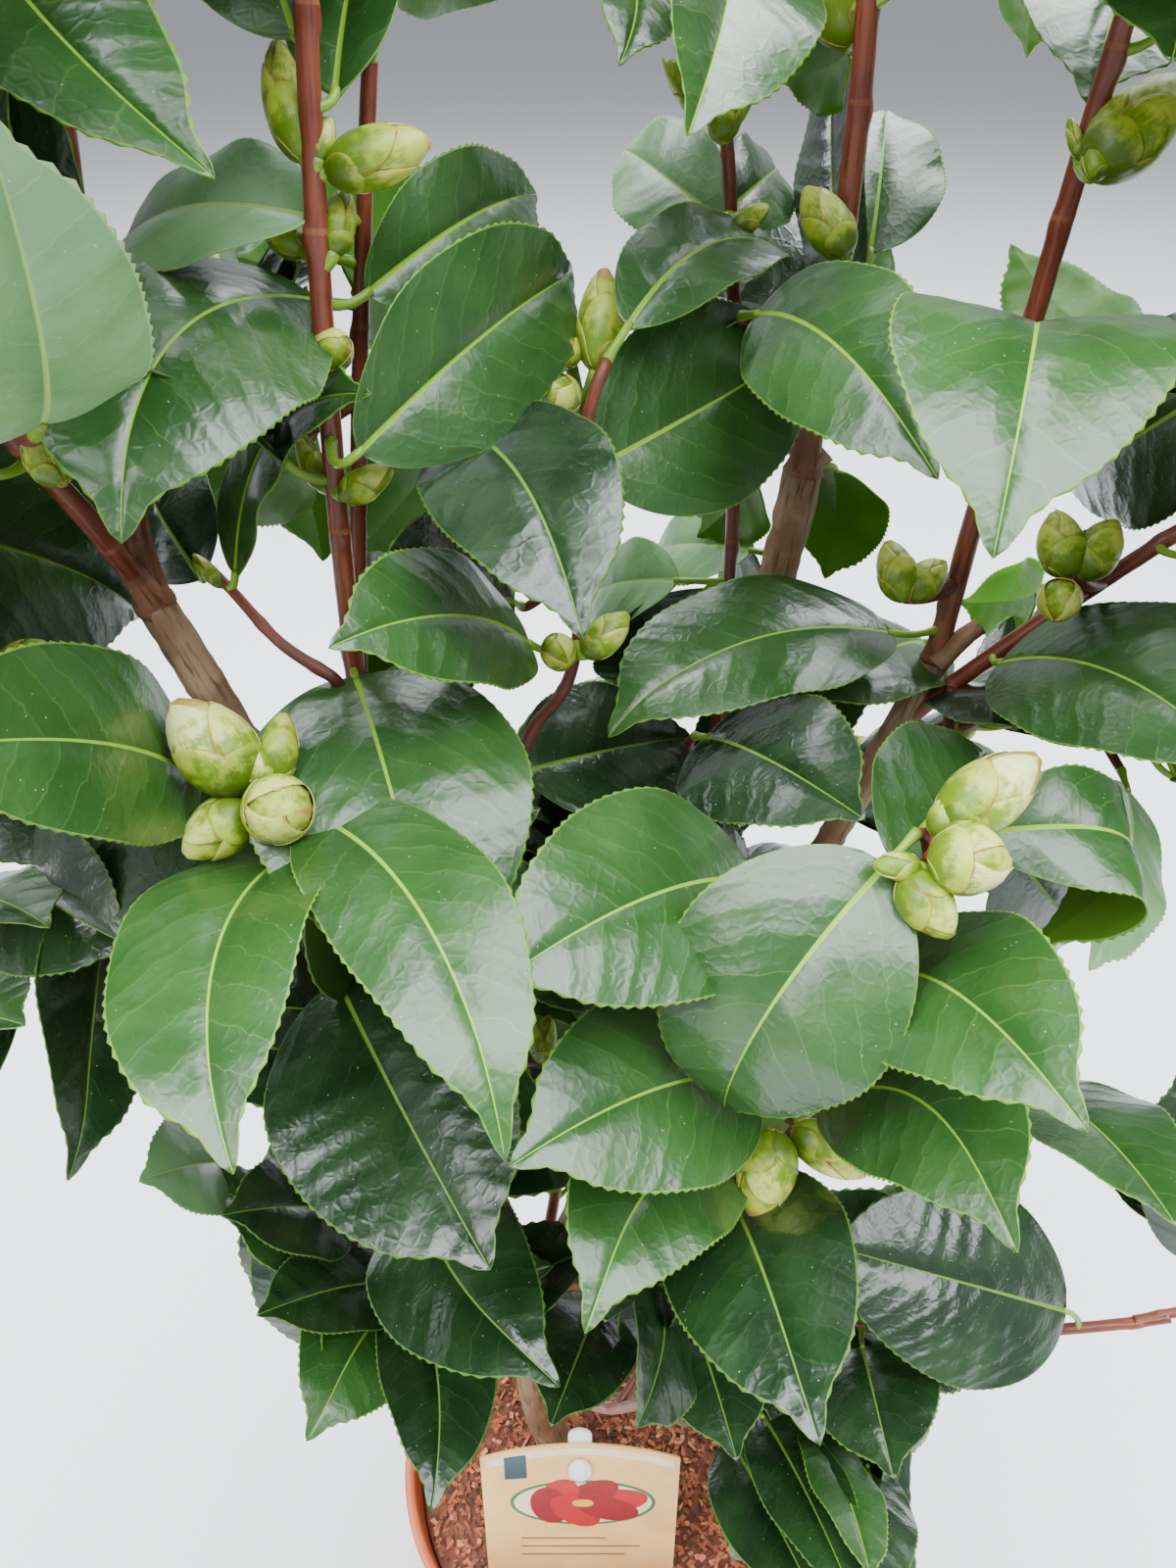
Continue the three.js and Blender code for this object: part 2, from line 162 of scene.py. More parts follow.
@dataclass
class MeshParts:
    """Vertices, faces, material slots and maps of a mesh that is being gathered."""

    vertices: list[Array] = field(default_factory=list)
    corners: list[Array] = field(default_factory=list)
    sizes: list[Array] = field(default_factory=list)
    slots: list[Array] = field(default_factory=list)
    maps: dict[str, list[Array]] = field(default_factory=dict)
    count: int = 0

    def add(
        self,
        vertices: Array,
        faces: Sequence[Array],
        slots: Array | int,
        maps: dict[str, Array] | None = None,
    ) -> None:
        """Adds one shape.

        Args:
            vertices: Places in millimetres, one row each.
            faces: Vertex numbers, in one array for each run of faces with as many corners.
            slots: The material slot of each face.
            maps: For each map, the place of each vertex or of each corner.
        """
        corners = np.concatenate([run.reshape(-1) for run in faces])
        sizes = np.concatenate([np.full(run.size // run.shape[-1], run.shape[-1]) for run in faces])
        self.vertices.append(vertices)
        self.corners.append(corners + self.count)
        self.sizes.append(sizes)
        self.slots.append(np.broadcast_to(slots, sizes.shape))
        for name, places in (maps or {}).items():
            at_corners = places[corners] if len(places) == len(vertices) else places
            self.maps.setdefault(name, []).append(at_corners)
        self.count += len(vertices)

    def build(self, name: str, materials: Sequence[Material]) -> bpy.types.Object:
        """Makes the object with smooth faces.

        Args:
            name: The piece's name.
            materials: The materials in the order of the slots.

        Returns:
            The new object, linked to the scene.
        """
        corners, sizes, slots = (
            np.concatenate(runs).astype(np.int32) for runs in (self.corners, self.sizes, self.slots)
        )
        mesh = bpy.data.meshes.new(name)
        mesh.vertices.add(self.count)
        mesh.vertices.foreach_set("co", (np.concatenate(self.vertices) * MM).ravel())
        mesh.loops.add(len(corners))
        mesh.loops.foreach_set("vertex_index", corners)
        mesh.polygons.add(len(sizes))
        mesh.polygons.foreach_set("loop_start", (np.cumsum(sizes) - sizes).astype(np.int32))
        mesh.polygons.foreach_set("material_index", slots)
        for map_name, places in self.maps.items():
            if sum(map(len, places)) == len(corners):
                layer = mesh.uv_layers.new(name=map_name, do_init=False)
                layer.uv.foreach_set("vector", np.concatenate(places).astype(np.float32).ravel())
        for material in materials:
            mesh.materials.append(material)
        mesh.update(calc_edges=True)
        mesh.validate()
        mesh.polygons.foreach_set("use_smooth", np.ones(len(mesh.polygons), bool))
        piece = bpy.data.objects.new(name, mesh)
        bpy.context.scene.collection.objects.link(piece)
        return piece


class Grain:
    """Smooth seeded noise on a sheet that closes on itself across its width."""

    def __init__(self, seed: int, wide: int, high: int) -> None:
        """Draws the lattice.

        Args:
            seed: The seed of the draw.
            wide: Cells round the closed direction.
            high: Cells along the open direction.
        """
        self.cells = np.random.default_rng(seed).uniform(-1, 1, (high + 2, wide))

    def at(self, across: Array, along: Array) -> Array:
        """Reads the noise.

        Args:
            across: Places round the closed direction, in cells.
            along: Places along the open direction, in cells.

        Returns:
            Values between -1 and 1.
        """
        high, wide = self.cells.shape
        x0, y0 = np.floor(across).astype(int), np.floor(along).astype(int)
        fx, fy = smooth_step(0, 1, across - x0), smooth_step(0, 1, along - y0)
        rows, nexts = y0 % (high - 1), (y0 + 1) % (high - 1)
        low = self.cells[rows, x0 % wide] * (1 - fx) + self.cells[rows, (x0 + 1) % wide] * fx
        top = self.cells[nexts, x0 % wide] * (1 - fx) + self.cells[nexts, (x0 + 1) % wide] * fx
        return low * (1 - fy) + top * fy


# Finishes


class Wiring:
    """Adds and links the nodes of one material or node group."""

    def __init__(self, tree: bpy.types.NodeTree) -> None:
        """Keeps the tree that is being wired."""
        self.tree = tree

    def feed(self, socket: Socket, value: object) -> None:
        """Links another node's output to an input, or sets the input's own value."""
        if isinstance(value, Socket):
            self.tree.links.new(value, socket)
        else:
            socket.default_value = value

    def add(self, kind: str, inputs: dict | None = None, **settings: object) -> bpy.types.Node:
        """Adds a node.

        Args:
            kind: The node's type name.
            inputs: A value or another node's output for each named or numbered input.
            settings: Attributes of the node.

        Returns:
            The new node.
        """
        node = self.tree.nodes.new(kind)
        for name, value in settings.items():
            setattr(node, name, value)
        for name, value in (inputs or {}).items():
            self.feed(node.inputs[name], value)
        return node

    def math(self, operation: str, *values: object) -> Socket:
        """Adds a math node and returns its result."""
        return self.add("ShaderNodeMath", dict(enumerate(values)), operation=operation).outputs[0]

    def ramp(self, value: object, low: float, high: float) -> Socket:
        """Returns 0 where the value is under low, 1 where it is over high, eased between."""
        inputs = {"Value": value, "From Min": low, "From Max": high}
        return self.add("ShaderNodeMapRange", inputs, interpolation_type="SMOOTHSTEP").outputs[0]

    def mixed(self, share: object, first: object, second: object) -> Socket:
        """Returns the mix of two colours."""
        return self.add("ShaderNodeMix", {0: share, 6: first, 7: second}, data_type="RGBA").outputs[2]

    def noise(self, place: Socket, scale: float, detail: float) -> Socket:
        """Returns noise."""
        return self.add("ShaderNodeTexNoise", {"Vector": place, "Scale": scale, "Detail": detail}).outputs[0]

    def streaks(self, place: Socket, across: float, along: float, detail: float) -> Socket:
        """Returns noise that is drawn out along a map."""
        stretched = self.add("ShaderNodeMapping", {"Vector": place, "Scale": (across, along, 1.0)})
        return self.noise(stretched.outputs[0], 1.6, detail)


class GroupWiring(Wiring):
    """Wires a shared node group, whose sockets are named after what they carry."""

    kinds = {"Colour": "NodeSocketColor", "Map": "NodeSocketVector", "Place": "NodeSocketVector"}

    def __init__(self, name: str, inputs: Sequence[str], outputs: Sequence[str]) -> None:
        """Starts the group.

        Args:
            name: The group's name.
            inputs: The names of its inputs.
            outputs: The names of its outputs.
        """
        super().__init__(bpy.data.node_groups.new(name, "ShaderNodeTree"))
        for side, sockets in (("INPUT", inputs), ("OUTPUT", outputs)):
            for socket in sockets:
                kind = self.kinds.get(socket.split()[-1], "NodeSocketFloat")
                self.tree.interface.new_socket(socket, in_out=side, socket_type=kind)
        self.given = list(self.add("NodeGroupInput").outputs)[: len(inputs)]
        self.end = self.add("NodeGroupOutput")

    def finish(self, *results: Socket) -> bpy.types.NodeTree:
        """Feeds the results to the outputs in their order and returns the group."""
        for socket, result in zip(self.end.inputs, results):
            self.tree.links.new(result, socket)
        return self.tree


@dataclass(frozen=True)
class TissueGroup:
    """Mottled plant skin: a colour that drifts to a second one, tiny pale specks and a fine grain."""

    blotch: float = 55.0
    speck: float = 330.0
    grain: float = 1500.0

    def build(self) -> bpy.types.NodeTree:
        """Wires the group and returns it."""
        inputs = ("Place", "Colour", "Second Colour", "Speck Colour", "Specks")
        wiring = GroupWiring("tissue", inputs, ("Colour", "Height", "Sheen Mask"))
        place, colour, second, speck_colour, specks = wiring.given
        blotch = wiring.noise(place, self.blotch, 3.0)
        body = wiring.mixed(wiring.ramp(blotch, 0.35, 0.68), colour, second)
        cells = wiring.add("ShaderNodeTexVoronoi", {"Vector": place, "Scale": self.speck})
        dot = wiring.math("SUBTRACT", 1.0, wiring.ramp(cells.outputs["Distance"], 0.03, 0.075))
        speckled = wiring.mixed(wiring.math("MULTIPLY", dot, specks), body, speck_colour)
        return wiring.finish(speckled, wiring.noise(place, self.grain, 2.0), blotch)


@dataclass(frozen=True)
class VeinGroup:
    """Side veins that leave the midrib in pairs, bend towards the tip and puff the blade between them."""

    spacing: float = 0.088
    lean: float = 0.55
    bend: float = 2.2
    width: float = 0.034

    def build(self) -> bpy.types.NodeTree:
        """Wires the group on a map whose unit is 100 mm and returns it."""
        wiring = GroupWiring("side_veins", ("Map",), ("Vein", "Height"))
        place, math_of = wiring.given[0], wiring.math
        parts = wiring.add("ShaderNodeSeparateXYZ", {0: place}).outputs
        offset = math_of("SUBTRACT", parts[0], 0.5)
        across = math_of("ABSOLUTE", offset)
        along = math_of("SUBTRACT", parts[1], math_of("MULTIPLY", across, self.lean))
        square = math_of("MULTIPLY", across, across)
        along = math_of("SUBTRACT", along, math_of("MULTIPLY", square, self.bend))
        along = math_of("MULTIPLY_ADD", wiring.noise(place, 14.0, 2.0), 0.06, along)
        side = math_of("MULTIPLY", math_of("GREATER_THAN", offset, 0.0), 0.45)
        turn = math_of("FRACT", math_of("ADD", math_of("DIVIDE", along, self.spacing), side))
        away = math_of("ABSOLUTE", math_of("SUBTRACT", turn, 0.5))
        vein = math_of("SUBTRACT", 1.0, wiring.ramp(away, 0.0, self.width))
        net = wiring.add("ShaderNodeTexVoronoi", {"Vector": place, "Scale": 34.0}, feature="DISTANCE_TO_EDGE")
        mesh = wiring.ramp(net.outputs["Distance"], 0.0, 0.22)
        return wiring.finish(vein, math_of("MULTIPLY_ADD", mesh, 0.3, wiring.ramp(away, 0.0, 0.35)))


@dataclass(frozen=True)
class BarkGroup:
    """Bark that is streaked along the limb, on a map whose unit is 10 mm along and one turn across."""

    streaks: float = 15.0

    def build(self) -> bpy.types.NodeTree:
        """Wires the group and returns it."""
        inputs = ("Map", "Place", "Colour", "Crack Colour", "Patch Colour")
        wiring = GroupWiring("bark_streaks", inputs, ("Colour", "Height"))
        limb_map, place, colour, crack_colour, patch_colour = wiring.given
        streak = wiring.streaks(limb_map, self.streaks, 0.55, 5.0)
        patch = wiring.ramp(wiring.noise(place, 90.0, 3.0), 0.42, 0.62)
        crack = wiring.math("SUBTRACT", 1.0, wiring.ramp(streak, 0.3, 0.5))
        patched = wiring.mixed(patch, colour, patch_colour)
        return wiring.finish(wiring.mixed(crack, patched, crack_colour), streak)


@dataclass(frozen=True)
class ScaleGroup:
    """Skin of a bud scale, on a map one wide and two long: it pales to its tip, in silky hairs."""

    hairs: float = 34.0
    clouds: float = 420.0

    def build(self) -> bpy.types.NodeTree:
        """Wires the group and returns it."""
        inputs = ("Map", "Place", "Foot Colour", "Tip Colour", "Margin Colour")
        wiring = GroupWiring("silky_scale", inputs, ("Colour", "Height"))
        scale_map, place, foot, tip, margin_colour = wiring.given
        across, along, _ = wiring.add("ShaderNodeSeparateXYZ", {0: scale_map}).outputs
        hair = wiring.streaks(scale_map, self.hairs, 2.2, 4.0)
        drift = wiring.math("ADD", hair, wiring.ramp(along, 0.5, 2.1))
        drift = wiring.math("MULTIPLY_ADD", wiring.noise(place, self.clouds, 3.0), 1.6, drift)
        body = wiring.mixed(wiring.ramp(drift, 1.35, 2.15), foot, tip)
        aside = wiring.math("ABSOLUTE", wiring.math("MULTIPLY_ADD", across, 2.0, -1.0))
        edge = wiring.math("MAXIMUM", aside, wiring.math("MULTIPLY", along, 0.5))
        margin = wiring.math("MULTIPLY", wiring.ramp(edge, 0.93, 0.97), 0.85)
        return wiring.finish(wiring.mixed(margin, body, margin_colour), hair)


Groups = dict[str, bpy.types.NodeTree]


def build_groups() -> Groups:
    """Builds each shared node group once."""
    kinds = {"tissue": TissueGroup(), "veins": VeinGroup(), "bark": BarkGroup(), "scale": ScaleGroup()}
    return {name: kind.build() for name, kind in kinds.items()}


@dataclass(frozen=True)
class Surface:
    """Settings that every finish shares: how rough it is, its clear coat and how deep its relief is."""

    roughness: float = 0.5
    rough_spread: float = 0.1
    coat: float = 0.0
    coat_roughness: float = 0.15
    relief: float = 0.1
    depth: float = 0.0002
    specular: float = 0.5


class Finish:
    """A material with its principled shader, wired step by step."""

    def __init__(self, name: str, surface: Surface) -> None:
        """Starts the material.

        Args:
            name: The material's name.
            surface: Its roughness, coat and relief.
        """
        self.material = bpy.data.materials.new(name)
        self.material.use_nodes = True
        self.surface = surface
        self.wiring = Wiring(self.material.node_tree)
        self.shader = self.material.node_tree.nodes["Principled BSDF"]
        self.shader.inputs["Coat Weight"].default_value = surface.coat
        self.shader.inputs["Coat Roughness"].default_value = surface.coat_roughness
        self.shader.inputs["Specular IOR Level"].default_value = surface.specular
        self.place = self.wiring.add("ShaderNodeTexCoord").outputs["Object"]

    def skin(self, group: bpy.types.NodeTree, *colours: Colour, map_name: str = LIMB_MAP) -> bpy.types.Node:
        """Places a shared group on the piece.

        Args:
            group: The group.
            colours: Its colours, in the order of its colour inputs.
            map_name: The map that it runs on.

        Returns:
            The group's node.
        """
        node = self.wiring.add("ShaderNodeGroup", node_tree=group)
        for socket in node.inputs:
            if socket.name == "Place":
                self.wiring.feed(socket, self.place)
            elif socket.name == "Map":
                self.wiring.feed(socket, self.wiring.add("ShaderNodeUVMap", uv_map=map_name).outputs[0])
        for socket, colour in zip((one for one in node.inputs if one.name.endswith("Colour")), colours):
            socket.default_value = linear(colour)
        return node

    def noise(self, scale: float, detail: float = 3.0) -> Socket:
        """Returns noise on the piece."""
        return self.wiring.noise(self.place, scale, detail)

    def colour(self, value: object) -> None:
        """Sets or links the base colour."""
        self.wiring.feed(self.shader.inputs["Base Color"], value)

    def rough(self, mask: Socket) -> None:
        """Lets the roughness wander round its setting with the mask."""
        low, high = (self.surface.roughness + side * self.surface.rough_spread for side in (-1, 1))
        inputs = {"Value": mask, "From Min": 0.3, "From Max": 0.7, "To Min": low, "To Max": high}
        spread = self.wiring.add("ShaderNodeMapRange", inputs)
        self.wiring.feed(self.shader.inputs["Roughness"], spread.outputs[0])

    def bump(self, height: Socket, strength: float | None = None, depth: float | None = None) -> None:
        """Raises the surface by a height, over any relief that it already has."""
        inputs = {
            "Height": height,
            "Strength": self.surface.relief if strength is None else strength,
            "Distance": self.surface.depth if depth is None else depth,
        }
        before = self.shader.inputs["Normal"]
        if before.is_linked:
            inputs["Normal"] = before.links[0].from_socket
        self.wiring.feed(before, self.wiring.add("ShaderNodeBump", inputs).outputs[0])

    def dressed(self, colour: object, mask: Socket, height: Socket) -> Material:
        """Sets colour, roughness and relief, and returns the material."""
        self.colour(colour)
        self.rough(mask)
        self.bump(height)
        return self.material


class Tone(Enum):
    """How a leaf takes the light: full green, in the shade, washed pale by the sky, or lit from behind."""

    GREEN = 0
    SHADE = 1
    PALE = 2
    BACKLIT = 3


@dataclass(frozen=True)
class LeafFinish:
    """The four materials of a leaf: its upper face, its underside, its midrib and its toothed margin."""

    name: str
    upper: Colour
    upper_second: Colour
    vein: Colour
    under: Colour
    rib: Colour
    edge: Colour
    surface: Surface
    vein_share: float = 0.35
    puff: float = 0.35
    speck: Colour = (196, 206, 190)
    specks: float = 0.4

    def build(self, groups: Groups) -> list[Material]:
        """Makes the materials in the order of a leaf's slots."""
        top = Finish(f"leaf_{self.name}_upper", self.surface)
        tissue = top.skin(groups["tissue"], self.upper, self.upper_second, self.speck)
        tissue.inputs["Specks"].default_value = self.specks
        veins = top.skin(groups["veins"], map_name=LEAF_MAP)
        share = top.wiring.math("MULTIPLY", veins.outputs["Vein"], self.vein_share)
        top.colour(top.wiring.mixed(share, tissue.outputs["Colour"], linear(self.vein)))
        top.rough(tissue.outputs["Sheen Mask"])
        top.bump(veins.outputs["Height"], self.puff, 0.0007)
        top.bump(tissue.outputs["Height"], 0.12, 0.0002)
        parts = [top.material]
        for part, colour in (("under", self.under), ("rib", self.rib), ("edge", self.edge)):
            plain = Finish(f"leaf_{self.name}_{part}", Surface(0.5, 0.1, relief=0.2, specular=0.25))
            grain = plain.noise(700.0)
            parts.append(plain.dressed(linear(colour), grain, grain))
        return parts


# Lit and shaded copies of one leaf colour: the shade tone is painted shade, the pale tone a painted sky sheen
# and the backlit tone painted light from behind.
LEAF_FINISHES = {
    Tone.GREEN: LeafFinish(
        "green", (35, 70, 25), (46, 83, 31), (92, 130, 60), (62, 96, 18), (122, 164, 44), (94, 132, 46),
        Surface(0.34, 0.06, coat=0.22, coat_roughness=0.2, specular=0.6), 0.34, 0.2,
    ),
    Tone.SHADE: LeafFinish(
        "shade", (17, 39, 16), (27, 54, 22), (60, 88, 40), (48, 78, 14), (94, 130, 42), (72, 104, 38),
        Surface(0.28, 0.06, coat=0.26, coat_roughness=0.16, specular=0.6), 0.3, 0.22,
    ),
    Tone.PALE: LeafFinish(
        "pale", (92, 134, 82), (110, 150, 98), (146, 178, 124), (104, 138, 60), (146, 178, 96),
        (136, 166, 108), Surface(0.42, 0.06, coat=0.12, coat_roughness=0.25), 0.22, 0.14,
    ),
    Tone.BACKLIT: LeafFinish(
        "backlit", (58, 108, 2), (72, 122, 4), (104, 150, 20), (64, 116, 2), (120, 164, 24), (100, 148, 12),
        Surface(0.6, 0.05, specular=0.1), 0.3, 0.12,
    ),
}


@dataclass(frozen=True)
class SkinFinish:
    """Skin of a stalk, a twig, bark or a bud scale, which one shared group makes."""

    name: str
    group: str
    colours: tuple[Colour, ...]
    surface: Surface
    mask: str = "Height"

    def build(self, groups: Groups) -> Material:
        """Makes the material."""
        finish = Finish(self.name, self.surface)
        skin = finish.skin(groups[self.group], *self.colours).outputs
        return finish.dressed(skin["Colour"], skin[self.mask], skin["Height"])


@dataclass(frozen=True)
class MadeFinish:
    """A made material: card, print, plastic or bark chips, mottled at two sizes."""

    name: str
    colour: Colour
    second: Colour
    coarse: float = 60.0
    fine: float = 1400.0
    surface: Surface = Surface(0.5, 0.1, relief=0.3)

    def build(self) -> Material:
        """Makes the material."""
        finish = Finish(self.name, self.surface)
        coarse, fine = finish.noise(self.coarse, 4.0), finish.noise(self.fine, 2.0)
        share = finish.wiring.ramp(finish.wiring.math("MULTIPLY_ADD", fine, 0.4, coarse), 0.5, 0.95)
        colour = finish.wiring.mixed(share, linear(self.colour), linear(self.second))
        return finish.dressed(colour, coarse, fine)


# The camera's view, which also places what the photograph shows


@dataclass(frozen=True)
class PhotoCamera:
    """The photograph's camera, on an image of 1200 by 1600 pixels, in millimetres."""

    place: Place = (-4.0, -249.0, 697.0)
    pitch: float = 36.0
    focal: float = 1203.0
    wide: int = 1200
    high: int = 1600
    sensor: float = 36.0

    def axes(self) -> tuple[float, float]:
        """Returns the cosine and sine of the downward pitch."""
        return math.cos(math.radians(self.pitch)), math.sin(math.radians(self.pitch))

    def ray(self, pixel: Pixel) -> Array:
        """Returns the way through a pixel, one millimetre deep."""
        cosine, sine = self.axes()
        right = (pixel[0] - self.wide / 2) / self.focal
        down = (pixel[1] - self.high / 2) / self.focal
        return np.array([right, cosine - down * sine, -sine - down * cosine])

    def point(self, pixel: Pixel, depth: float) -> Array:
        """Returns the place that shows at a pixel, that deep in front of the camera."""
        return np.array(self.place) + depth * self.ray(pixel)

    def reach(self, pixel: Pixel, start: Array, distance: float, far: bool) -> Array:
        """Returns the place at a pixel that lies a set distance from another place.

        Args:
            pixel: Where it shows.
            start: The other place.
            distance: How far apart they are.
            far: Whether it is the further of the two such places.

        Returns:
            The place, or the nearest one on the ray if none is that close.
        """
        ray, back = self.ray(pixel), np.array(self.place) - start
        square, half = ray @ ray, ray @ back
        inside = half * half - square * (back @ back - distance**2)
        root = math.sqrt(max(inside, 0.0))
        return np.array(self.place) + (-half + (root if far else -root)) / square * ray

    def project(self, points: Array) -> Array:
        """Returns the pixel and the depth of each place."""
        cosine, sine = self.axes()
        away = np.asarray(points) - np.array(self.place)
        depth = away[..., 1] * cosine - away[..., 2] * sine
        down = -away[..., 2] * cosine - away[..., 1] * sine
        safe = np.where(np.abs(depth) < 1, 1, depth)
        x = self.wide / 2 + self.focal * away[..., 0] / safe
        y = self.high / 2 + self.focal * down / safe
        return np.stack([x, y, depth], -1)

    def build(self) -> None:
        """Makes the scene's camera."""
        data = bpy.data.cameras.new("photo_camera")
        data.sensor_width = self.sensor
        data.lens = self.sensor * self.focal / max(self.wide, self.high)
        data.clip_start, data.clip_end = 0.01, 100
        camera = bpy.data.objects.new("photo_camera", data)
        camera.location = Vector(self.place) * MM
        camera.rotation_euler = (math.radians(90 - self.pitch), 0, 0)
        bpy.context.scene.collection.objects.link(camera)
        bpy.context.scene.camera = camera


# Trunk, stems and shoots


class Growth(Enum):
    """The age of a limb, which sets its bark."""

    WOOD = "bark"
    YOUNG = "young_bark"


@dataclass(frozen=True)
class Limb:
    """One tapering limb: where it leaves its parent, its tip, its bow and its radii, in millimetres."""

    parent: str
    at: float
    tip: Place
    bow: Place
    radii: tuple[float, float]
    growth: Growth = Growth.YOUNG
    flare: float = 0.0


TRUNK_FOOT = (-12.0, 0.0, 138.3)
LIMBS = {
    "trunk": Limb("", 0, (-24, 5, 262), (-9, 1, 0), (6.8, 6), Growth.WOOD, 4),
    "stem_left": Limb("trunk", 0.97, (-102, -12, 578), (8, -1.5, 0), (5.3, 4.6), Growth.WOOD),
    "stem_centre": Limb("trunk", 0.97, (52, 45, 587), (8, 6, -8), (5.6, 5.2), Growth.WOOD),
    "stem_right": Limb("stem_centre", 0.2, (92, 33, 537), (4, 0, -3), (4.6, 4), Growth.WOOD),
    "shoot_red": Limb("stem_left", 0.5, (-46.5, -14, 730), (-6.5, -4.5, 0), (2.8, 1.9)),
    "shoot_red_back": Limb("shoot_red", 0.42, (-42, 16, 700), (-2, 4, 0), (2.1, 1.5)),
    "shoot_far_left": Limb("stem_left", 0.99, (-128, -62, 672), (6, -3, 0), (2.6, 1.7)),
    "shoot_left_top": Limb("stem_left", 0.99, (-98, 6, 704), (-3, -2, 0), (3.2, 2)),
    "shoot_centre_top": Limb("stem_centre", 0.99, (49, 38, 732), (4, 0, 0), (3.2, 2.1)),
    "shoot_thin": Limb("stem_centre", 0.6, (20, 54, 702), (11, 13, 0), (2.1, 1.5)),
    "shoot_right_top": Limb("stem_right", 0.99, (103, 16, 736), (0, 3, 0), (2.9, 1.9)),
    "shoot_right_out": Limb("stem_right", 0.9, (176, -4, 626), (-2, 3, 0), (2.5, 1.6)),
    "shoot_bud_left": Limb("stem_left", 0.4, (-75, -47, 544), (5, -9, -4), (2.7, 2)),
    "shoot_bud_right": Limb("stem_centre", 0.4, (66, -68, 540), (-2, -16, -4), (2.7, 2)),
    "shoot_bud_front": Limb("stem_centre", 0.1, (44, -69, 446), (-2, -12, -14), (2.7, 2)),
    "shoot_left_out": Limb("stem_left", 0.7, (-172, -28, 516), (0, -4, -8), (2.4, 1.6)),
    "shoot_low_right": Limb("stem_centre", 0.1, (186, -40, 330), (2, -8, -14), (2.6, 1.8)),
    "shoot_skirt_left": Limb("trunk", 0.72, (-90, -36, 326), (-4, -4, -12), (2.4, 1.8)),
    "shoot_skirt_front": Limb("trunk", 0.86, (18, -60, 320), (-2, -10, -10), (2.4, 1.8)),
    "shoot_skirt_right": Limb("stem_centre", 0.06, (86, -22, 318), (6, -6, -10), (2.4, 1.8)),
    "shoot_back_left": Limb("stem_left", 0.24, (-80, 92, 560), (-4, 16, -10), (3, 1.9)),
    "shoot_back_right": Limb("stem_centre", 0.28, (70, 114, 548), (-4, 16, -10), (3, 1.9)),
    "shoot_back_low": Limb("trunk", 0.9, (0, 98, 366), (0, 10, -14), (2.6, 1.8)),
}


def quadratic(ends: Sequence[Array], share: Array | float) -> Array:
    """Returns the places along a curve with one control point."""
    t = np.atleast_1d(share)[:, None]
    return (1 - t) ** 2 * ends[0] + 2 * t * (1 - t) * ends[1] + t * t * ends[2]


def distances(path: Array) -> Array:
    """Returns how far along the path each of its places is."""
    return np.concatenate([[0], np.cumsum(np.linalg.norm(np.diff(path, axis=0), axis=1))])


def quads_of(number: Array) -> Array:
    """Returns the corners of each face on a grid of vertex numbers."""
    return np.stack([number[:-1, :-1], number[:-1, 1:], number[1:, 1:], number[1:, :-1]], -1)


def rings_along(path: Array) -> tuple[Array, Array]:
    """Carries two cross directions along a path without twisting them.

    Args:
        path: The places along the path.

    Returns:
        Two unit vectors for each place, square to the path.
    """
    tangents = np.gradient(path, axis=0)
    tangents /= np.linalg.norm(tangents, axis=1, keepdims=True)
    across = np.empty_like(tangents)
    start = np.array([1.0, 0.0, 0.0]) if abs(tangents[0, 0]) < 0.8 else np.array([0.0, 1.0, 0.0])
    for index, tangent in enumerate(tangents):
        start = unit(start - (start @ tangent) * tangent)
        across[index] = start
    return across, np.cross(tangents, across)


def add_tube(
    parts: MeshParts,
    path: Array,
    radii: Array,
    sides: int,
    slots: Array | int = 0,
    relief: Callable[[Array, Array], Array] | None = None,
) -> None:
    """Adds a closed tube.

    Args:
        parts: What the tube is added to.
        path: The places along its middle, in millimetres.
        radii: Its radius at each place.
        sides: How many sides it has.
        slots: The material slot of each ring of faces.
        relief: Gives how far the skin stands out, from the turn round the tube and the distance along it.
    """
    rings = len(path)
    across, beside = rings_along(path)
    grid_turn, grid_along = np.meshgrid(np.arange(sides + 1) / sides, distances(path))
    turn, along = grid_turn[:, :-1], grid_along[:, :-1]
    radius = np.repeat(radii[:, None], sides, 1) + (relief(turn, along) if relief else 0)
    angle = math.tau * turn
    ring = np.cos(angle)[..., None] * across[:, None] + np.sin(angle)[..., None] * beside[:, None]
    number = np.arange(rings * sides).reshape(rings, sides)
    closed = np.concatenate([number, number[:, :1]], 1)
    places = np.stack([grid_turn, grid_along / 10], -1).reshape(-1, 2)
    places = places[quads_of(np.arange(len(places)).reshape(rings, -1))].reshape(-1, 2)
    caps = np.repeat([[0.5, 0.0], [0.5, grid_along[-1, 0] / 10]], sides, 0)
    face_slots = np.broadcast_to(np.asarray(slots), (rings - 1,))
    parts.add(
        (path[:, None] + radius[..., None] * ring).reshape(-1, 3),
        [quads_of(closed), number[0, ::-1], number[-1]],
        np.concatenate([np.repeat(face_slots, sides), face_slots[[0, -1]]]),
        {LIMB_MAP: np.concatenate([places, caps])},
    )


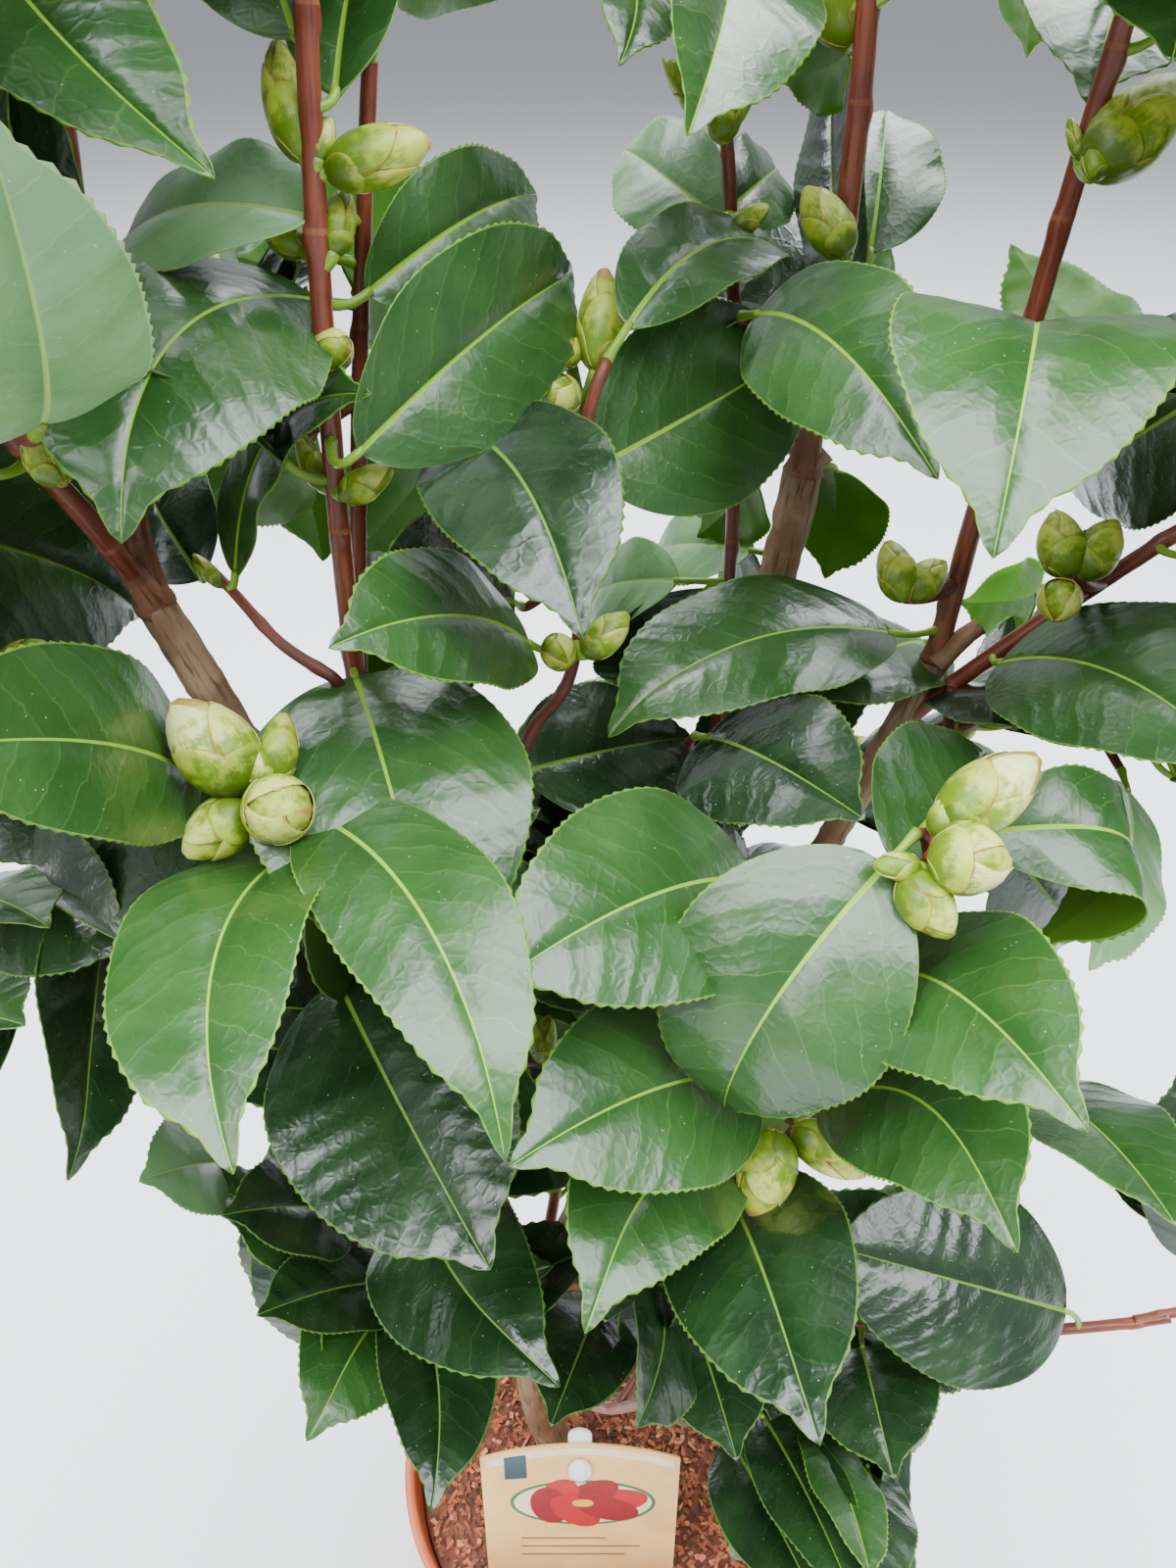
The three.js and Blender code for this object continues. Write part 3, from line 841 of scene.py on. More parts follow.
class Framework:
    """The trunk, stems and shoots, as curves that everything else grows from.

    Nothing should leave them in or close above the pot, so places under the low line cost more.
    """

    low_line: float = 170.0
    low_cost: float = 25.0

    def __init__(self) -> None:
        """Works out each limb's curve from its parent's."""
        self.curves: dict[str, tuple[Array, Array, Array]] = {}
        for name, limb in LIMBS.items():
            foot = quadratic(self.curves[limb.parent], limb.at)[0] if limb.parent else np.array(TRUNK_FOOT)
            tip = np.array(limb.tip, float)
            self.curves[name] = (foot, (foot + tip) / 2 + 2 * np.array(limb.bow), tip)
        shares = np.linspace(0, 1, 60)
        self.samples = np.concatenate([quadratic(curve, shares) for curve in self.curves.values()])

    def join(self, path: Array) -> None:
        """Lets further leaves and buds leave from a twig as well."""
        self.samples = np.concatenate([self.samples, path])

    def costs(self, place: Array, toward: Array | None = None) -> Array:
        """Rates each place on the limbs as the foot of a twig or stalk.

        Args:
            place: What the twig or stalk has to reach.
            toward: The way that the leaf there points, which its stalk prefers not to double back on.

        Returns:
            How far away each place is, and more where the stalk would double back.
        """
        offset = place - self.samples
        cost = np.linalg.norm(offset, axis=1)
        if toward is not None:
            cost = cost * (1.25 - 0.25 * (offset @ toward) / np.maximum(cost, 1e-6))
        return cost + self.low_cost * (self.samples[:, 2] < self.low_line)

    def nearest(self, place: Array, toward: Array | None = None) -> Array:
        """Returns the best foot on the limbs."""
        return self.samples[int(np.argmin(self.costs(place, toward)))]


@dataclass(frozen=True)
class SeenTwig:
    """A thin twig that the photograph shows: pixels and depths along it, and its radii in millimetres."""

    stops: tuple[tuple[int, int, float], ...]
    radii: tuple[float, float] = (1.5, 1.1)

    def path(self, camera: PhotoCamera) -> Array:
        """Returns close places along the twig, on a curve through its stops."""
        ends = np.array([camera.point((x, y), depth) for x, y, depth in self.stops])
        share = np.linspace(0, len(ends) - 1, 14 * (len(ends) - 1) + 1)
        index = np.clip(share.astype(int), 0, len(ends) - 2)
        part = (share - index)[:, None]
        before, after = ends[np.maximum(index - 1, 0)], ends[np.minimum(index + 2, len(ends) - 1)]
        first, second = ends[index], ends[index + 1]
        bend = (2 * before - 5 * first + 4 * second - after) * part**2
        turn = (-before + 3 * first - 3 * second + after) * part**3
        return 0.5 * (2 * first + (second - before) * part + bend + turn)


SEEN_STUBS = (
    SeenTwig(((834, 480, 304), (818, 452, 303), (806, 420, 302)), (4.6, 3.2)),
    SeenTwig(((957, 678, 320), (978, 656, 317), (1000, 638, 315)), (3.0, 2.4)),
)
SEEN_TWIGS = (
    SeenTwig(((-100, 700, 270), (-150, 600, 264), (-140, 520, 258)), (1.6, 1.3)),
    SeenTwig(((338, 690, 262), (285, 655, 262), (232, 598, 264), (200, 572, 266))),
    SeenTwig(((1186, 1342, 386), (1222, 1333, 383), (1254, 1314, 379)), (1.8, 1.3)),
    SeenTwig(
        ((520, 800, 306), (545, 742, 300), (582, 688, 288), (598, 560, 280), (592, 420, 272)), (1.9, 1.3)
    ),
)


BARKS = [
    SkinFinish(f"{name}_bark", "bark", colours, surface)
    for name, colours, surface in (
        ("old", ((124, 94, 66), (92, 64, 44), (146, 118, 90)), Surface(0.8, 0.1, relief=0.5, depth=0.0005)),
        ("red", ((104, 44, 26), (80, 34, 22), (120, 56, 34)), Surface(0.42, 0.08, coat=0.1, relief=0.15)),
        ("scar", ((122, 64, 38), (94, 46, 28), (138, 82, 52)), Surface(0.7, 0.1, relief=0.3)),
        ("brown", ((112, 66, 42), (80, 44, 28), (134, 88, 58)), Surface(0.6, 0.1, relief=0.3)),
    )
]


@dataclass(frozen=True)
class Woodwork:
    """Meshes of the trunk, stems and shoots with their bark's relief."""

    wood_step: float = 1.5
    young_step: float = 1.2
    wood_sides: int = 26
    young_sides: int = 16
    node_every: float = 31.0
    flare_fade: float = 7.0
    dome: float = 4.0

    def path(self, curve: Sequence[Array], step: float) -> tuple[Array, Array]:
        """Returns the shares and the places along a limb, a step apart."""
        length = float(np.linalg.norm(curve[2] - curve[0])) * 1.03
        shares = np.linspace(0, 1, max(int(length / step), 6) + 1)
        return shares, quadratic(curve, shares)

    def wood_relief(self, seed: int, length: float) -> Callable[[Array, Array], Array]:
        """Returns old bark: long fissures, flaking plates and ring scars."""
        long_grain = Grain(seed, 11, int(length / 9) + 3)
        plates = Grain(seed + 1, 7, int(length / 5) + 3)
        fine = Grain(seed + 2, 26, int(length / 2.5) + 3)
        rings = np.random.default_rng(seed + 3).uniform(12, 34, 40).cumsum()

        def stand_out(turn: Array, along: Array) -> Array:
            """Returns how far the bark stands out."""
            fissure = np.clip(0.25 - np.abs(long_grain.at(turn * 11 + 0.04 * along, along / 9)), 0, 1)
            lumps = 0.35 * plates.at(turn * 7, along / 5) + 0.14 * fine.at(turn * 26, along / 2.5)
            scars = sum(np.exp(-(((along - place) / 0.9) ** 2)) for place in rings[rings < length])
            return lumps - 1.188 * fissure + 0.4 * scars

        return stand_out

    def young_relief(self, seed: int, length: float) -> tuple[Callable, Array]:
        """Returns smooth young bark with a swelling and a scar at each node, and the nodes' distances."""
        fine = Grain(seed, 12, int(length / 4) + 3)
        rng = np.random.default_rng(seed)
        nodes = np.arange(self.node_every * 0.6, length, self.node_every)
        nodes = nodes + rng.uniform(-3, 3, len(nodes))
        turns = rng.uniform(0, 1) + np.arange(len(nodes)) * GOLDEN_TURN / math.tau

        def stand_out(turn: Array, along: Array) -> Array:
            """Returns how far the bark stands out."""
            skin = 0.07 * fine.at(turn * 12, along / 4)
            for place, side in zip(nodes, turns):
                gap = np.abs((turn - side + 0.5) % 1 - 0.5)
                below = np.exp(-(((along - place) / 2.6) ** 2))
                skin = skin + 0.05 * below + 0.6 * below * np.exp(-((gap / 0.13) ** 2))
                skin = skin + 0.08 * np.exp(-(((along - place - 2.2) / 0.45) ** 2))
            return skin

        return stand_out, nodes

    def add_wood(self, parts: MeshParts, curve: Sequence[Array], limb: Limb, seed: int) -> None:
        """Adds the trunk or a stem, which closes in a dome if it is a stem."""
        shares, path = self.path(curve, self.wood_step)
        length = float(distances(path)[-1])
        radii = limb.radii[0] + (limb.radii[1] - limb.radii[0]) * shares
        radii = radii + limb.flare * np.exp(-self.flare_fade * shares)
        if limb.radii[1] < 5.5:
            left = (1 - shares) * length / self.dome
            radii = radii * np.sqrt(1 - 0.75 * np.clip(1 - left, 0, 1) ** 2)
        add_tube(parts, path, radii, self.wood_sides, 0, self.wood_relief(seed, length))

    def add_shoot(self, parts: MeshParts, curve: Sequence[Array], limb: Limb, seed: int) -> None:
        """Adds a shoot, swollen and brown at its foot, with a scar at each node."""
        shares, path = self.path(curve, self.young_step)
        along = distances(path)
        forked = limb.at > 0.95
        swell = LIMBS[limb.parent].radii[1] + 0.3 - limb.radii[0] if forked else 0.9
        radii = limb.radii[0] + (limb.radii[1] - limb.radii[0]) * shares
        radii = radii + swell * np.exp(-along / (4.2 if forked else 5))
        relief, nodes = self.young_relief(seed, along[-1])
        middles = (along[1:] + along[:-1]) / 2
        scar = (np.abs(middles[:, None] - nodes[None] - 2.2) < 0.6).any(1)
        slots = np.where(scar, 1, np.where(middles < 0.12 * along[-1], 2, 0))
        add_tube(parts, path, radii, self.young_sides, slots, relief)

    def build(self, framework: Framework, groups: Groups, camera: PhotoCamera) -> None:
        """Makes one piece of old wood and one of young shoots."""
        wood, young = MeshParts(), MeshParts()
        for index, (name, limb) in enumerate(LIMBS.items()):
            if limb.growth is Growth.WOOD:
                self.add_wood(wood, framework.curves[name], limb, 100 + 10 * index)
            else:
                self.add_shoot(young, framework.curves[name], limb, 300 + 10 * index)
        for index, stub in enumerate(SEEN_STUBS):
            path = stub.path(camera)
            radii = np.linspace(*stub.radii, len(path))
            add_tube(wood, path, radii, self.wood_sides, 0, self.wood_relief(900 + 10 * index, 20))
        old_bark, *young_barks = [bark.build(groups) for bark in BARKS]
        for piece, growth in (
            (wood.build("old_wood", [old_bark]), Growth.WOOD),
            (young.build("young_shoots", young_barks), Growth.YOUNG),
        ):
            register(piece, [name for name, limb in LIMBS.items() if limb.growth is growth])


# Leaves


@dataclass(frozen=True, kw_only=True)
class LeafForm:
    """How a blade is bent.

    The fold and twist are in degrees. The bow, sweep and curl are shares of the leaf's length, and
    the droop is a share of its half width.
    """

    bow: float = 0.1
    sweep: float = 0.0
    fold: float = 8.0
    droop: float = 0.12
    curl: float = 0.0
    twist: float = 0.0
    wave: float = 1.0
    phase: float = 0.0
    ripple: float = 0.12


@dataclass(frozen=True)
class Leaf(LeafForm):
    """One leaf: the ends of its blade and its width in millimetres, and the way that its upper face looks."""

    base: Array
    tip: Array
    normal: Array
    width: float
    tone: Tone
    fine: bool = True

    def axes(self) -> tuple[Array, float, Array, Array]:
        """Returns the blade's chord, its length, the way that it faces and the way to its side."""
        chord = self.tip - self.base
        length = float(np.linalg.norm(chord))
        ahead = chord / length
        normal = unit(self.normal - (self.normal @ ahead) * ahead)
        return chord, length, normal, np.cross(normal, ahead)

    def way(self) -> Array:
        """Returns the way that the midrib leaves the stalk."""
        chord, length, normal, side = self.axes()
        return unit(chord + 4 * length * (self.bow * normal + self.sweep * side))

    def spine(self) -> Array:
        """Returns places along the midrib."""
        chord, length, normal, _ = self.axes()
        t = np.linspace(0.08, 1, 8)[:, None]
        return self.base + t * chord + 4 * t * (1 - t) * self.bow * length * normal


@dataclass(frozen=True)
class BladeGrid:
    """The face layout that all leaves of one fineness share, and their shape along and across.

    The upper side is a grid from margin to margin. The underside shares its outermost points, so
    the blade is closed.
    """

    rows: int
    half: int
    thickness: float = 0.42
    rib: tuple[float, float] = (0.7, 0.1)
    margin: float = 0.2
    tooth: float = 0.45
    vein_gap: float = 8.2

    @staticmethod
    def half_width(t: Array) -> Array:
        """Returns the share of the greatest half width along the midrib: broad, then drawn out to a tip."""
        body = t**0.6 * (1 - t) ** 0.78 / (0.6**0.6 * 0.78**0.78 / 1.38**1.38)
        return body * (1 - 0.42 * np.exp(-(((t - 0.94) / 0.06) ** 2)))

    def numbers(self) -> tuple[Array, Array]:
        """Returns the vertex numbers of the upper and the lower grid."""
        wide = 2 * self.half + 1
        upper = np.arange((self.rows + 1) * wide).reshape(self.rows + 1, wide)
        lower = upper.copy()
        lower[:, 1:-1] = upper.size + np.arange((self.rows + 1) * (wide - 2)).reshape(self.rows + 1, -1)
        return upper, lower

    def faces(self) -> tuple[list[Array], Array]:
        """Returns the faces in runs of one kind, and the slot of each face."""
        upper, lower = self.numbers()
        column = np.arange(2 * self.half)
        rib = (column == self.half - 1) | (column == self.half)
        edge = (column == 0) | (column == column[-1])
        kinds = (np.where(rib, 2, np.where(edge, 3, 0)), np.where(edge, 3, 1))
        start = np.concatenate([upper[0][::-1], lower[0][1:-1]])
        end = np.concatenate([upper[-1], lower[-1][1:-1][::-1]])
        slots = np.concatenate([np.tile(kinds[0], self.rows), np.tile(kinds[1], self.rows), [2, 0]])
        return [quads_of(upper), quads_of(lower)[..., ::-1], start, end], slots

    def points(self, leaf: Leaf) -> tuple[Array, Array]:
        """Bends one blade.

        Args:
            leaf: The leaf.

        Returns:
            Its vertices, and for each of them its place on the leaf's own map.
        """
        chord, length, normal, side = leaf.axes()
        t = np.linspace(0, 1, self.rows + 1)
        arch = 4 * t * (1 - t)
        hook = np.clip((t - 0.8) / 0.2, 0, 1) ** 2
        middle = leaf.base + np.outer(t, chord)
        middle += np.outer(arch * leaf.bow * length - hook * leaf.curl * length, normal)
        middle += np.outer(arch * leaf.sweep * length, side)
        tangent = np.gradient(middle, axis=0)
        tangent /= np.linalg.norm(tangent, axis=1, keepdims=True)
        roll = math.radians(leaf.twist) * (t - 0.5)
        up = np.outer(np.cos(roll), normal) + np.outer(np.sin(roll), side)
        up -= (up * tangent).sum(1, keepdims=True) * tangent
        up /= np.linalg.norm(up, axis=1, keepdims=True)
        across = np.cross(up, tangent)

        breadth = self.half_width(np.clip(t, 1e-4, 1 - 1e-4))
        reach = np.maximum(breadth * leaf.width / 2, 0.12)
        odd = np.arange(self.rows + 1) % 2
        toothed = smooth_step(0.1, 0.24, t) * (1 - smooth_step(0.9, 0.985, t)) * odd
        rib = np.minimum(self.rib[0] + (self.rib[1] - self.rib[0]) * t**0.7, 0.45 * reach)
        inner = np.maximum(reach - self.margin, rib + 0.02)
        steps = rib[:, None] + (inner - rib)[:, None] * np.linspace(0, 1, self.half - 1)
        half = np.concatenate([steps, (reach + self.tooth * toothed)[:, None]], axis=1)
        y = np.concatenate([-half[:, ::-1], np.zeros((self.rows + 1, 1)), half], axis=1)
        away, share = np.abs(y), y / reach[:, None]
        arc = distances(middle)
        lift = away * math.sin(math.radians(leaf.fold)) - leaf.droop * y**2 / (leaf.width / 2)
        ruffle = np.sin(math.tau * 2.3 * t + leaf.phase) * breadth
        lift = lift + leaf.wave * ruffle[:, None] * share * np.abs(share)
        turn = (arc[:, None] - 0.5 * away - 0.02 * away**2) / self.vein_gap + 0.45 * (y > 0)
        quilt = leaf.ripple * np.cos(math.tau * turn) * smooth_step(0.05, 0.3, np.abs(share))
        lift = lift - quilt * (1 - smooth_step(0.75, 1.0, np.abs(share)))
        groove = -0.22 * np.exp(-((y / np.maximum(rib, 0.05)[:, None]) ** 2) * 2)
        keel = self.thickness + 0.75 * (1 - t)[:, None] ** 0.8 * np.exp(-((y / 0.9) ** 2))
        flat = middle[:, None] + (y * math.cos(math.radians(leaf.fold)))[..., None] * across[:, None]
        top = flat + (lift + groove)[..., None] * up[:, None]
        low = flat + (lift - keel)[..., None] * up[:, None]
        top[:, [0, -1]] += (0.5 * toothed[:, None] * tangent)[:, None]
        places = np.stack([0.5 + y / 100, np.broadcast_to(arc[:, None], y.shape) / 100], -1)
        return (
            np.concatenate([top.reshape(-1, 3), low[:, 1:-1].reshape(-1, 3)]),
            np.concatenate([places.reshape(-1, 2), places[:, 1:-1].reshape(-1, 2)]),
        )

    def sheet(self, leaf: Leaf) -> Array:
        """Returns places that cover a blade closely."""
        top = self.points(leaf)[0][: self.numbers()[0].size].reshape(self.rows + 1, -1, 3)
        shares = (0, 0.25, 0.5, 0.75)
        return np.concatenate([top[:, :-1] * (1 - s) + top[:, 1:] * s for s in shares]).reshape(-1, 3)


FINE_GRID = BladeGrid(rows=60, half=6)
LIGHT_GRID = BladeGrid(rows=36, half=4, tooth=0.7)


@dataclass(frozen=True)
class SeenLeaf(LeafForm):
    """A leaf that the photograph shows.

    Its base and tip are pixels, its depth, chord and width are in millimetres, and its roll in
    degrees is how far its upper face is turned from the camera, round its chord.
    """

    base: Pixel
    depth: float
    tip: Pixel
    chord: float
    width: float
    roll: float = 0.0
    tone: Tone = Tone.GREEN
    far: bool = False

    def place(self, camera: PhotoCamera) -> Leaf:
        """Returns the leaf in the plant's own frame."""
        base = camera.point(self.base, self.depth)
        tip = camera.reach(self.tip, base, self.chord, self.far)
        sight = unit((base + tip) / 2 - np.array(camera.place))
        ahead = unit(tip - base)
        facing = unit((sight @ ahead) * ahead - sight)
        angle = math.radians(self.roll)
        normal = facing * math.cos(angle) + np.cross(facing, ahead) * math.sin(angle)
        form = {part.name: getattr(self, part.name) for part in fields(LeafForm)}
        return Leaf(base, tip, normal, self.width, self.tone, **form)


SHADE, PALE, BACKLIT = Tone.SHADE, Tone.PALE, Tone.BACKLIT
SEEN_LEAVES = (
    SeenLeaf((-48, -150), 182, (219, 181), 86, 31, 20, bow=0.06, sweep=-0.08, fold=12),
    SeenLeaf((42, 434), 180, (-22, 104), 60, 29, -16, PALE, bow=0.12, fold=12),
    SeenLeaf((318, 222), 214, (115, 270), 68, 34, -58, PALE, True, bow=0.12, fold=12, droop=0.2, curl=0.03),
    SeenLeaf((342, 97), 205, (400, -140), 66, 26, 35, far=True, bow=0.06, fold=15),
    SeenLeaf((302, 38), 200, (262, -190), 70, 34, 25, far=True, fold=12),
    SeenLeaf((395, -62), 235, (590, -58), 70, 36, 160, BACKLIT, True),
    SeenLeaf((325, 306), 238, (122, 546), 72, 50, -30, bow=0.16, sweep=-0.13, fold=2, droop=0.18, curl=0.03),
    SeenLeaf((366, 462), 226, (592, 276), 76, 38, -20, far=True, bow=0.08, sweep=0.06, fold=16, curl=0.03),
    SeenLeaf((374, 300), 232, (548, 200), 66, 26, -4, far=True, sweep=0.05, fold=14),
    SeenLeaf((468, 442), 256, (592, 642), 70, 38, 10, SHADE, bow=0.12, sweep=0.06, curl=0.04),
    SeenLeaf((541, 657), 276, (341, 657), 70, 34, -30, bow=0.08, sweep=-0.05, droop=0.15, curl=0.02),
    SeenLeaf((525, 615), 300, (368, 588), 66, 40, -10, SHADE, bow=0.08, droop=0.15),
    SeenLeaf((362, 690), 268, (448, 1010), 76, 60, 5, bow=0.16, droop=0.15, curl=0.03),
    SeenLeaf((203, 797), 254, (-120, 768), 84, 38, -18, bow=0.08, sweep=-0.04, curl=0.02),
    SeenLeaf((318, 832), 246, (515, 1160), 86, 34, 15, bow=0.12, sweep=0.06, droop=0.1, curl=0.09),
    SeenLeaf((302, 868), 250, (230, 1185), 80, 40, -30, bow=0.12, sweep=-0.07, fold=18, curl=0.04),
    SeenLeaf((275, 850), 262, (88, 850), 66, 46, -15, SHADE, True, bow=0.12, droop=0.15, curl=0.02),
    SeenLeaf((345, 1000), 292, (500, 1296), 84, 58, -10, SHADE, bow=0.05, fold=12, droop=0.1, ripple=0.26),
    SeenLeaf((25, 892), 302, (134, 967), 56, 40, -15, SHADE, bow=0.12, fold=18, droop=0.1, curl=0.03),
    SeenLeaf((112, 925), 315, (84, 1198), 78, 40, 45, SHADE, bow=0.08, sweep=-0.1, fold=12, curl=0.05),
    SeenLeaf((-70, 930), 300, (50, 946), 60, 36, 60, fold=12),
    SeenLeaf((-80, 1065), 305, (25, 1046), 60, 36, 60, fold=12),
    SeenLeaf((-160, 530), 238, (148, 628), 80, 46, 10, far=True, sweep=0.05, curl=0.02),
    SeenLeaf((-60, 500), 285, (108, 560), 66, 38, 10, far=True, bow=0.08),
    SeenLeaf((205, 590), 272, (150, 480), 56, 30, 20, SHADE, True),
    SeenLeaf((240, 588), 262, (378, 402), 63, 25, 58, bow=0.08, sweep=0.2, fold=10, twist=24),
    SeenLeaf((300, 425), 280, (190, 525), 60, 36, 170, BACKLIT, True),
    SeenLeaf((283, 455), 278, (330, 572), 60, 34, 150, BACKLIT, True),
    SeenLeaf((455, 450), 285, (366, 562), 62, 40, 170, BACKLIT, True),
    SeenLeaf((362, 300), 245, (455, 195), 58, 40, 150, BACKLIT, True, fold=12),
    SeenLeaf((308, 262), 245, (243, 262), 48, 26, 150, BACKLIT, True),
    SeenLeaf((292, 232), 235, (280, 306), 46, 28, 50, SHADE, True),
    SeenLeaf((745, -80), 238, (702, 138), 74, 38, 24, bow=0.08, fold=24, droop=0.1),
    SeenLeaf((588, -60), 262, (632, 66), 60, 22, 40, sweep=0.1),
    SeenLeaf((735, 225), 285, (638, 153), 54, 28, -6, PALE, True),
    SeenLeaf((738, 218), 287, (792, 172), 46, 24, 0, far=True),
    SeenLeaf((640, 334), 246, (812, 262), 68, 26, 40, far=True, bow=0.12, sweep=0.08, fold=10, curl=0.05),
    SeenLeaf((602, 480), 258, (815, 358), 76, 46, -5, far=True, bow=0.08),
    SeenLeaf((772, 320), 262, (952, 482), 74, 34, 8, sweep=0.06, fold=6, curl=0.03),
    SeenLeaf((868, 325), 290, (856, 36), 82, 28, 50, SHADE, True, bow=0.05, fold=10),
    SeenLeaf((888, 258), 300, (904, 112), 46, 33, -8, far=True, bow=0.08, fold=10),
    SeenLeaf((868, 52), 257, (797, 82), 38, 20, 160, BACKLIT, True),
    SeenLeaf((886, 300), 285, (910, 235), 42, 18, 150, BACKLIT, True),
    SeenLeaf((1052, 348), 234, (1015, 562), 74, 50, 2, bow=0.22, fold=14, droop=0.14, curl=0.02),
    SeenLeaf((1235, 398), 262, (1086, 492), 66, 42, 0, SHADE, True),
    SeenLeaf((1142, 346), 262, (1031, 250), 60, 26, 150, BACKLIT, True, bow=0.12),
    SeenLeaf((1150, -80), 285, (1110, 106), 76, 52, 10),
    SeenLeaf((1036, -50), 300, (1048, 58), 50, 22, 150, BACKLIT, True),
    SeenLeaf((1225, -70), 235, (1196, 62), 64, 42, 0),
    SeenLeaf((911, 646), 312, (621, 740), 84, 46, -42, sweep=-0.06, curl=0.05),
    SeenLeaf((720, 602), 338, (625, 700), 62, 36, 30, SHADE, True),
    SeenLeaf((768, 562), 345, (665, 567), 60, 28, -30, PALE, True),
    SeenLeaf((692, 592), 335, (597, 612), 58, 28, -30, PALE, True),
    SeenLeaf((852, 478), 310, (842, 590), 48, 30, 160, BACKLIT, True),
    SeenLeaf((768, 485), 315, (712, 548), 46, 26, 160, BACKLIT, True),
    SeenLeaf((1020, 676), 306, (1275, 790), 80, 46, 30, sweep=0.06, curl=0.02),
    SeenLeaf((1060, 605), 335, (980, 615), 46, 26, 160, BACKLIT, True),
    SeenLeaf((972, 700), 335, (1132, 755), 66, 40, 50, SHADE),
    SeenLeaf((945, 655), 345, (824, 719), 62, 36, -30),
    SeenLeaf((532, 788), 305, (706, 752), 66, 42, 20, SHADE, True, bow=0.05),
    SeenLeaf((720, 752), 305, (882, 836), 68, 40, 22, SHADE, bow=0.08),
    SeenLeaf((912, 878), 250, (1005, 768), 66, 38, 0, far=True, fold=10),
    SeenLeaf(
        (985, 852), 240, (1048, 970), 42, 31, 76, far=True, bow=0.67, sweep=0.1, fold=8, curl=0.02, twist=30
    ),
    SeenLeaf(
        (905, 882), 228, (735, 1138), 66, 48, 0, far=True, bow=0.2, sweep=-0.05, fold=6, droop=0.16, curl=0.05
    ),
    SeenLeaf((772, 900), 268, (506, 1004), 80, 46, -8, sweep=-0.05, fold=6, droop=0.14, curl=0.03),
    SeenLeaf((890, 998), 264, (1100, 1142), 76, 40, 15, bow=0.12, sweep=0.06, curl=0.04),
    SeenLeaf((768, 1102), 276, (527, 1186), 74, 44, -8, sweep=-0.05, fold=6, droop=0.14, curl=0.03),
    SeenLeaf((835, 1130), 288, (1030, 1269), 70, 40, 10, bow=0.12, sweep=0.18, fold=6, droop=0.14, curl=0.04),
    SeenLeaf((752, 1182), 292, (607, 1346), 66, 38, -5, bow=0.12, sweep=-0.14, curl=0.08),
    SeenLeaf((740, 1215), 300, (832, 1465), 80, 44, -5, SHADE, sweep=0.03, droop=0.1, curl=0.03),
    SeenLeaf((1088, 1338), 384, (835, 1268), 90, 60, 0, SHADE, fold=4, droop=0.14, curl=0.02, ripple=0.24),
    SeenLeaf((1045, 1112), 332, (1200, 1250), 70, 38, 45, fold=12),
    SeenLeaf((1228, 1290), 378, (1204, 1092), 68, 32, 0, SHADE),
    SeenLeaf((880, 1375), 402, (912, 1508), 60, 44, 0, SHADE, bow=0.12, droop=0.15),
    SeenLeaf((830, 1458), 410, (890, 1615), 66, 26, 40, bow=0.06, fold=10),
    SeenLeaf((778, 1445), 415, (875, 1640), 76, 30, 20, SHADE, bow=0.06, fold=10),
    SeenLeaf((745, 1470), 420, (845, 1660), 76, 34, 10, SHADE, bow=0.06, fold=10),
    SeenLeaf((885, 1496), 414, (886, 1650), 66, 28, 20, SHADE, fold=10),
    SeenLeaf((672, 1310), 370, (650, 1456), 60, 36, 55, SHADE, bow=0.08, fold=10),
    SeenLeaf((612, 1325), 402, (562, 1455), 60, 36, 0, SHADE, fold=10),
    SeenLeaf((700, 1335), 398, (752, 1490), 64, 38, 10, SHADE, fold=10),
    SeenLeaf((418, 1322), 402, (442, 1535), 76, 38, 15, SHADE, sweep=0.05, fold=12, curl=0.04),
    SeenLeaf((402, 1332), 412, (322, 1462), 56, 42, 10, bow=0.12, sweep=-0.08, curl=0.1),
    SeenLeaf((402, 1310), 402, (262, 1342), 62, 34, -30, SHADE, bow=0.08),
    SeenLeaf((440, 1218), 352, (563, 1403), 82, 44, 0, SHADE, sweep=-0.08, curl=0.06),
    SeenLeaf((352, 1242), 392, (226, 1240), 58, 36, -30, SHADE),
    SeenLeaf((232, 1188), 402, (142, 1205), 52, 38, -20, PALE),
    SeenLeaf((1035, 872), 292, (1102, 955), 52, 38, 0, SHADE, True),
    SeenLeaf((1150, 805), 302, (1112, 990), 62, 28, 50, PALE, bow=0.08),
)


class BudAge(Enum):
    """How far a bud has swollen, which sets how many scales show."""

    SMALL = 4
    HALF = 5
    FAT = 6


@dataclass(frozen=True)
class SeenBud:
    """A bud that the photograph shows.

    Its ends are pixels, and its depth, width and lean, which is how much nearer its tip is than its
    base, are in millimetres.
    """

    base: Pixel
    tip: Pixel
    depth: float
    width: float
    age: BudAge = BudAge.HALF
    lean: float = 0.0


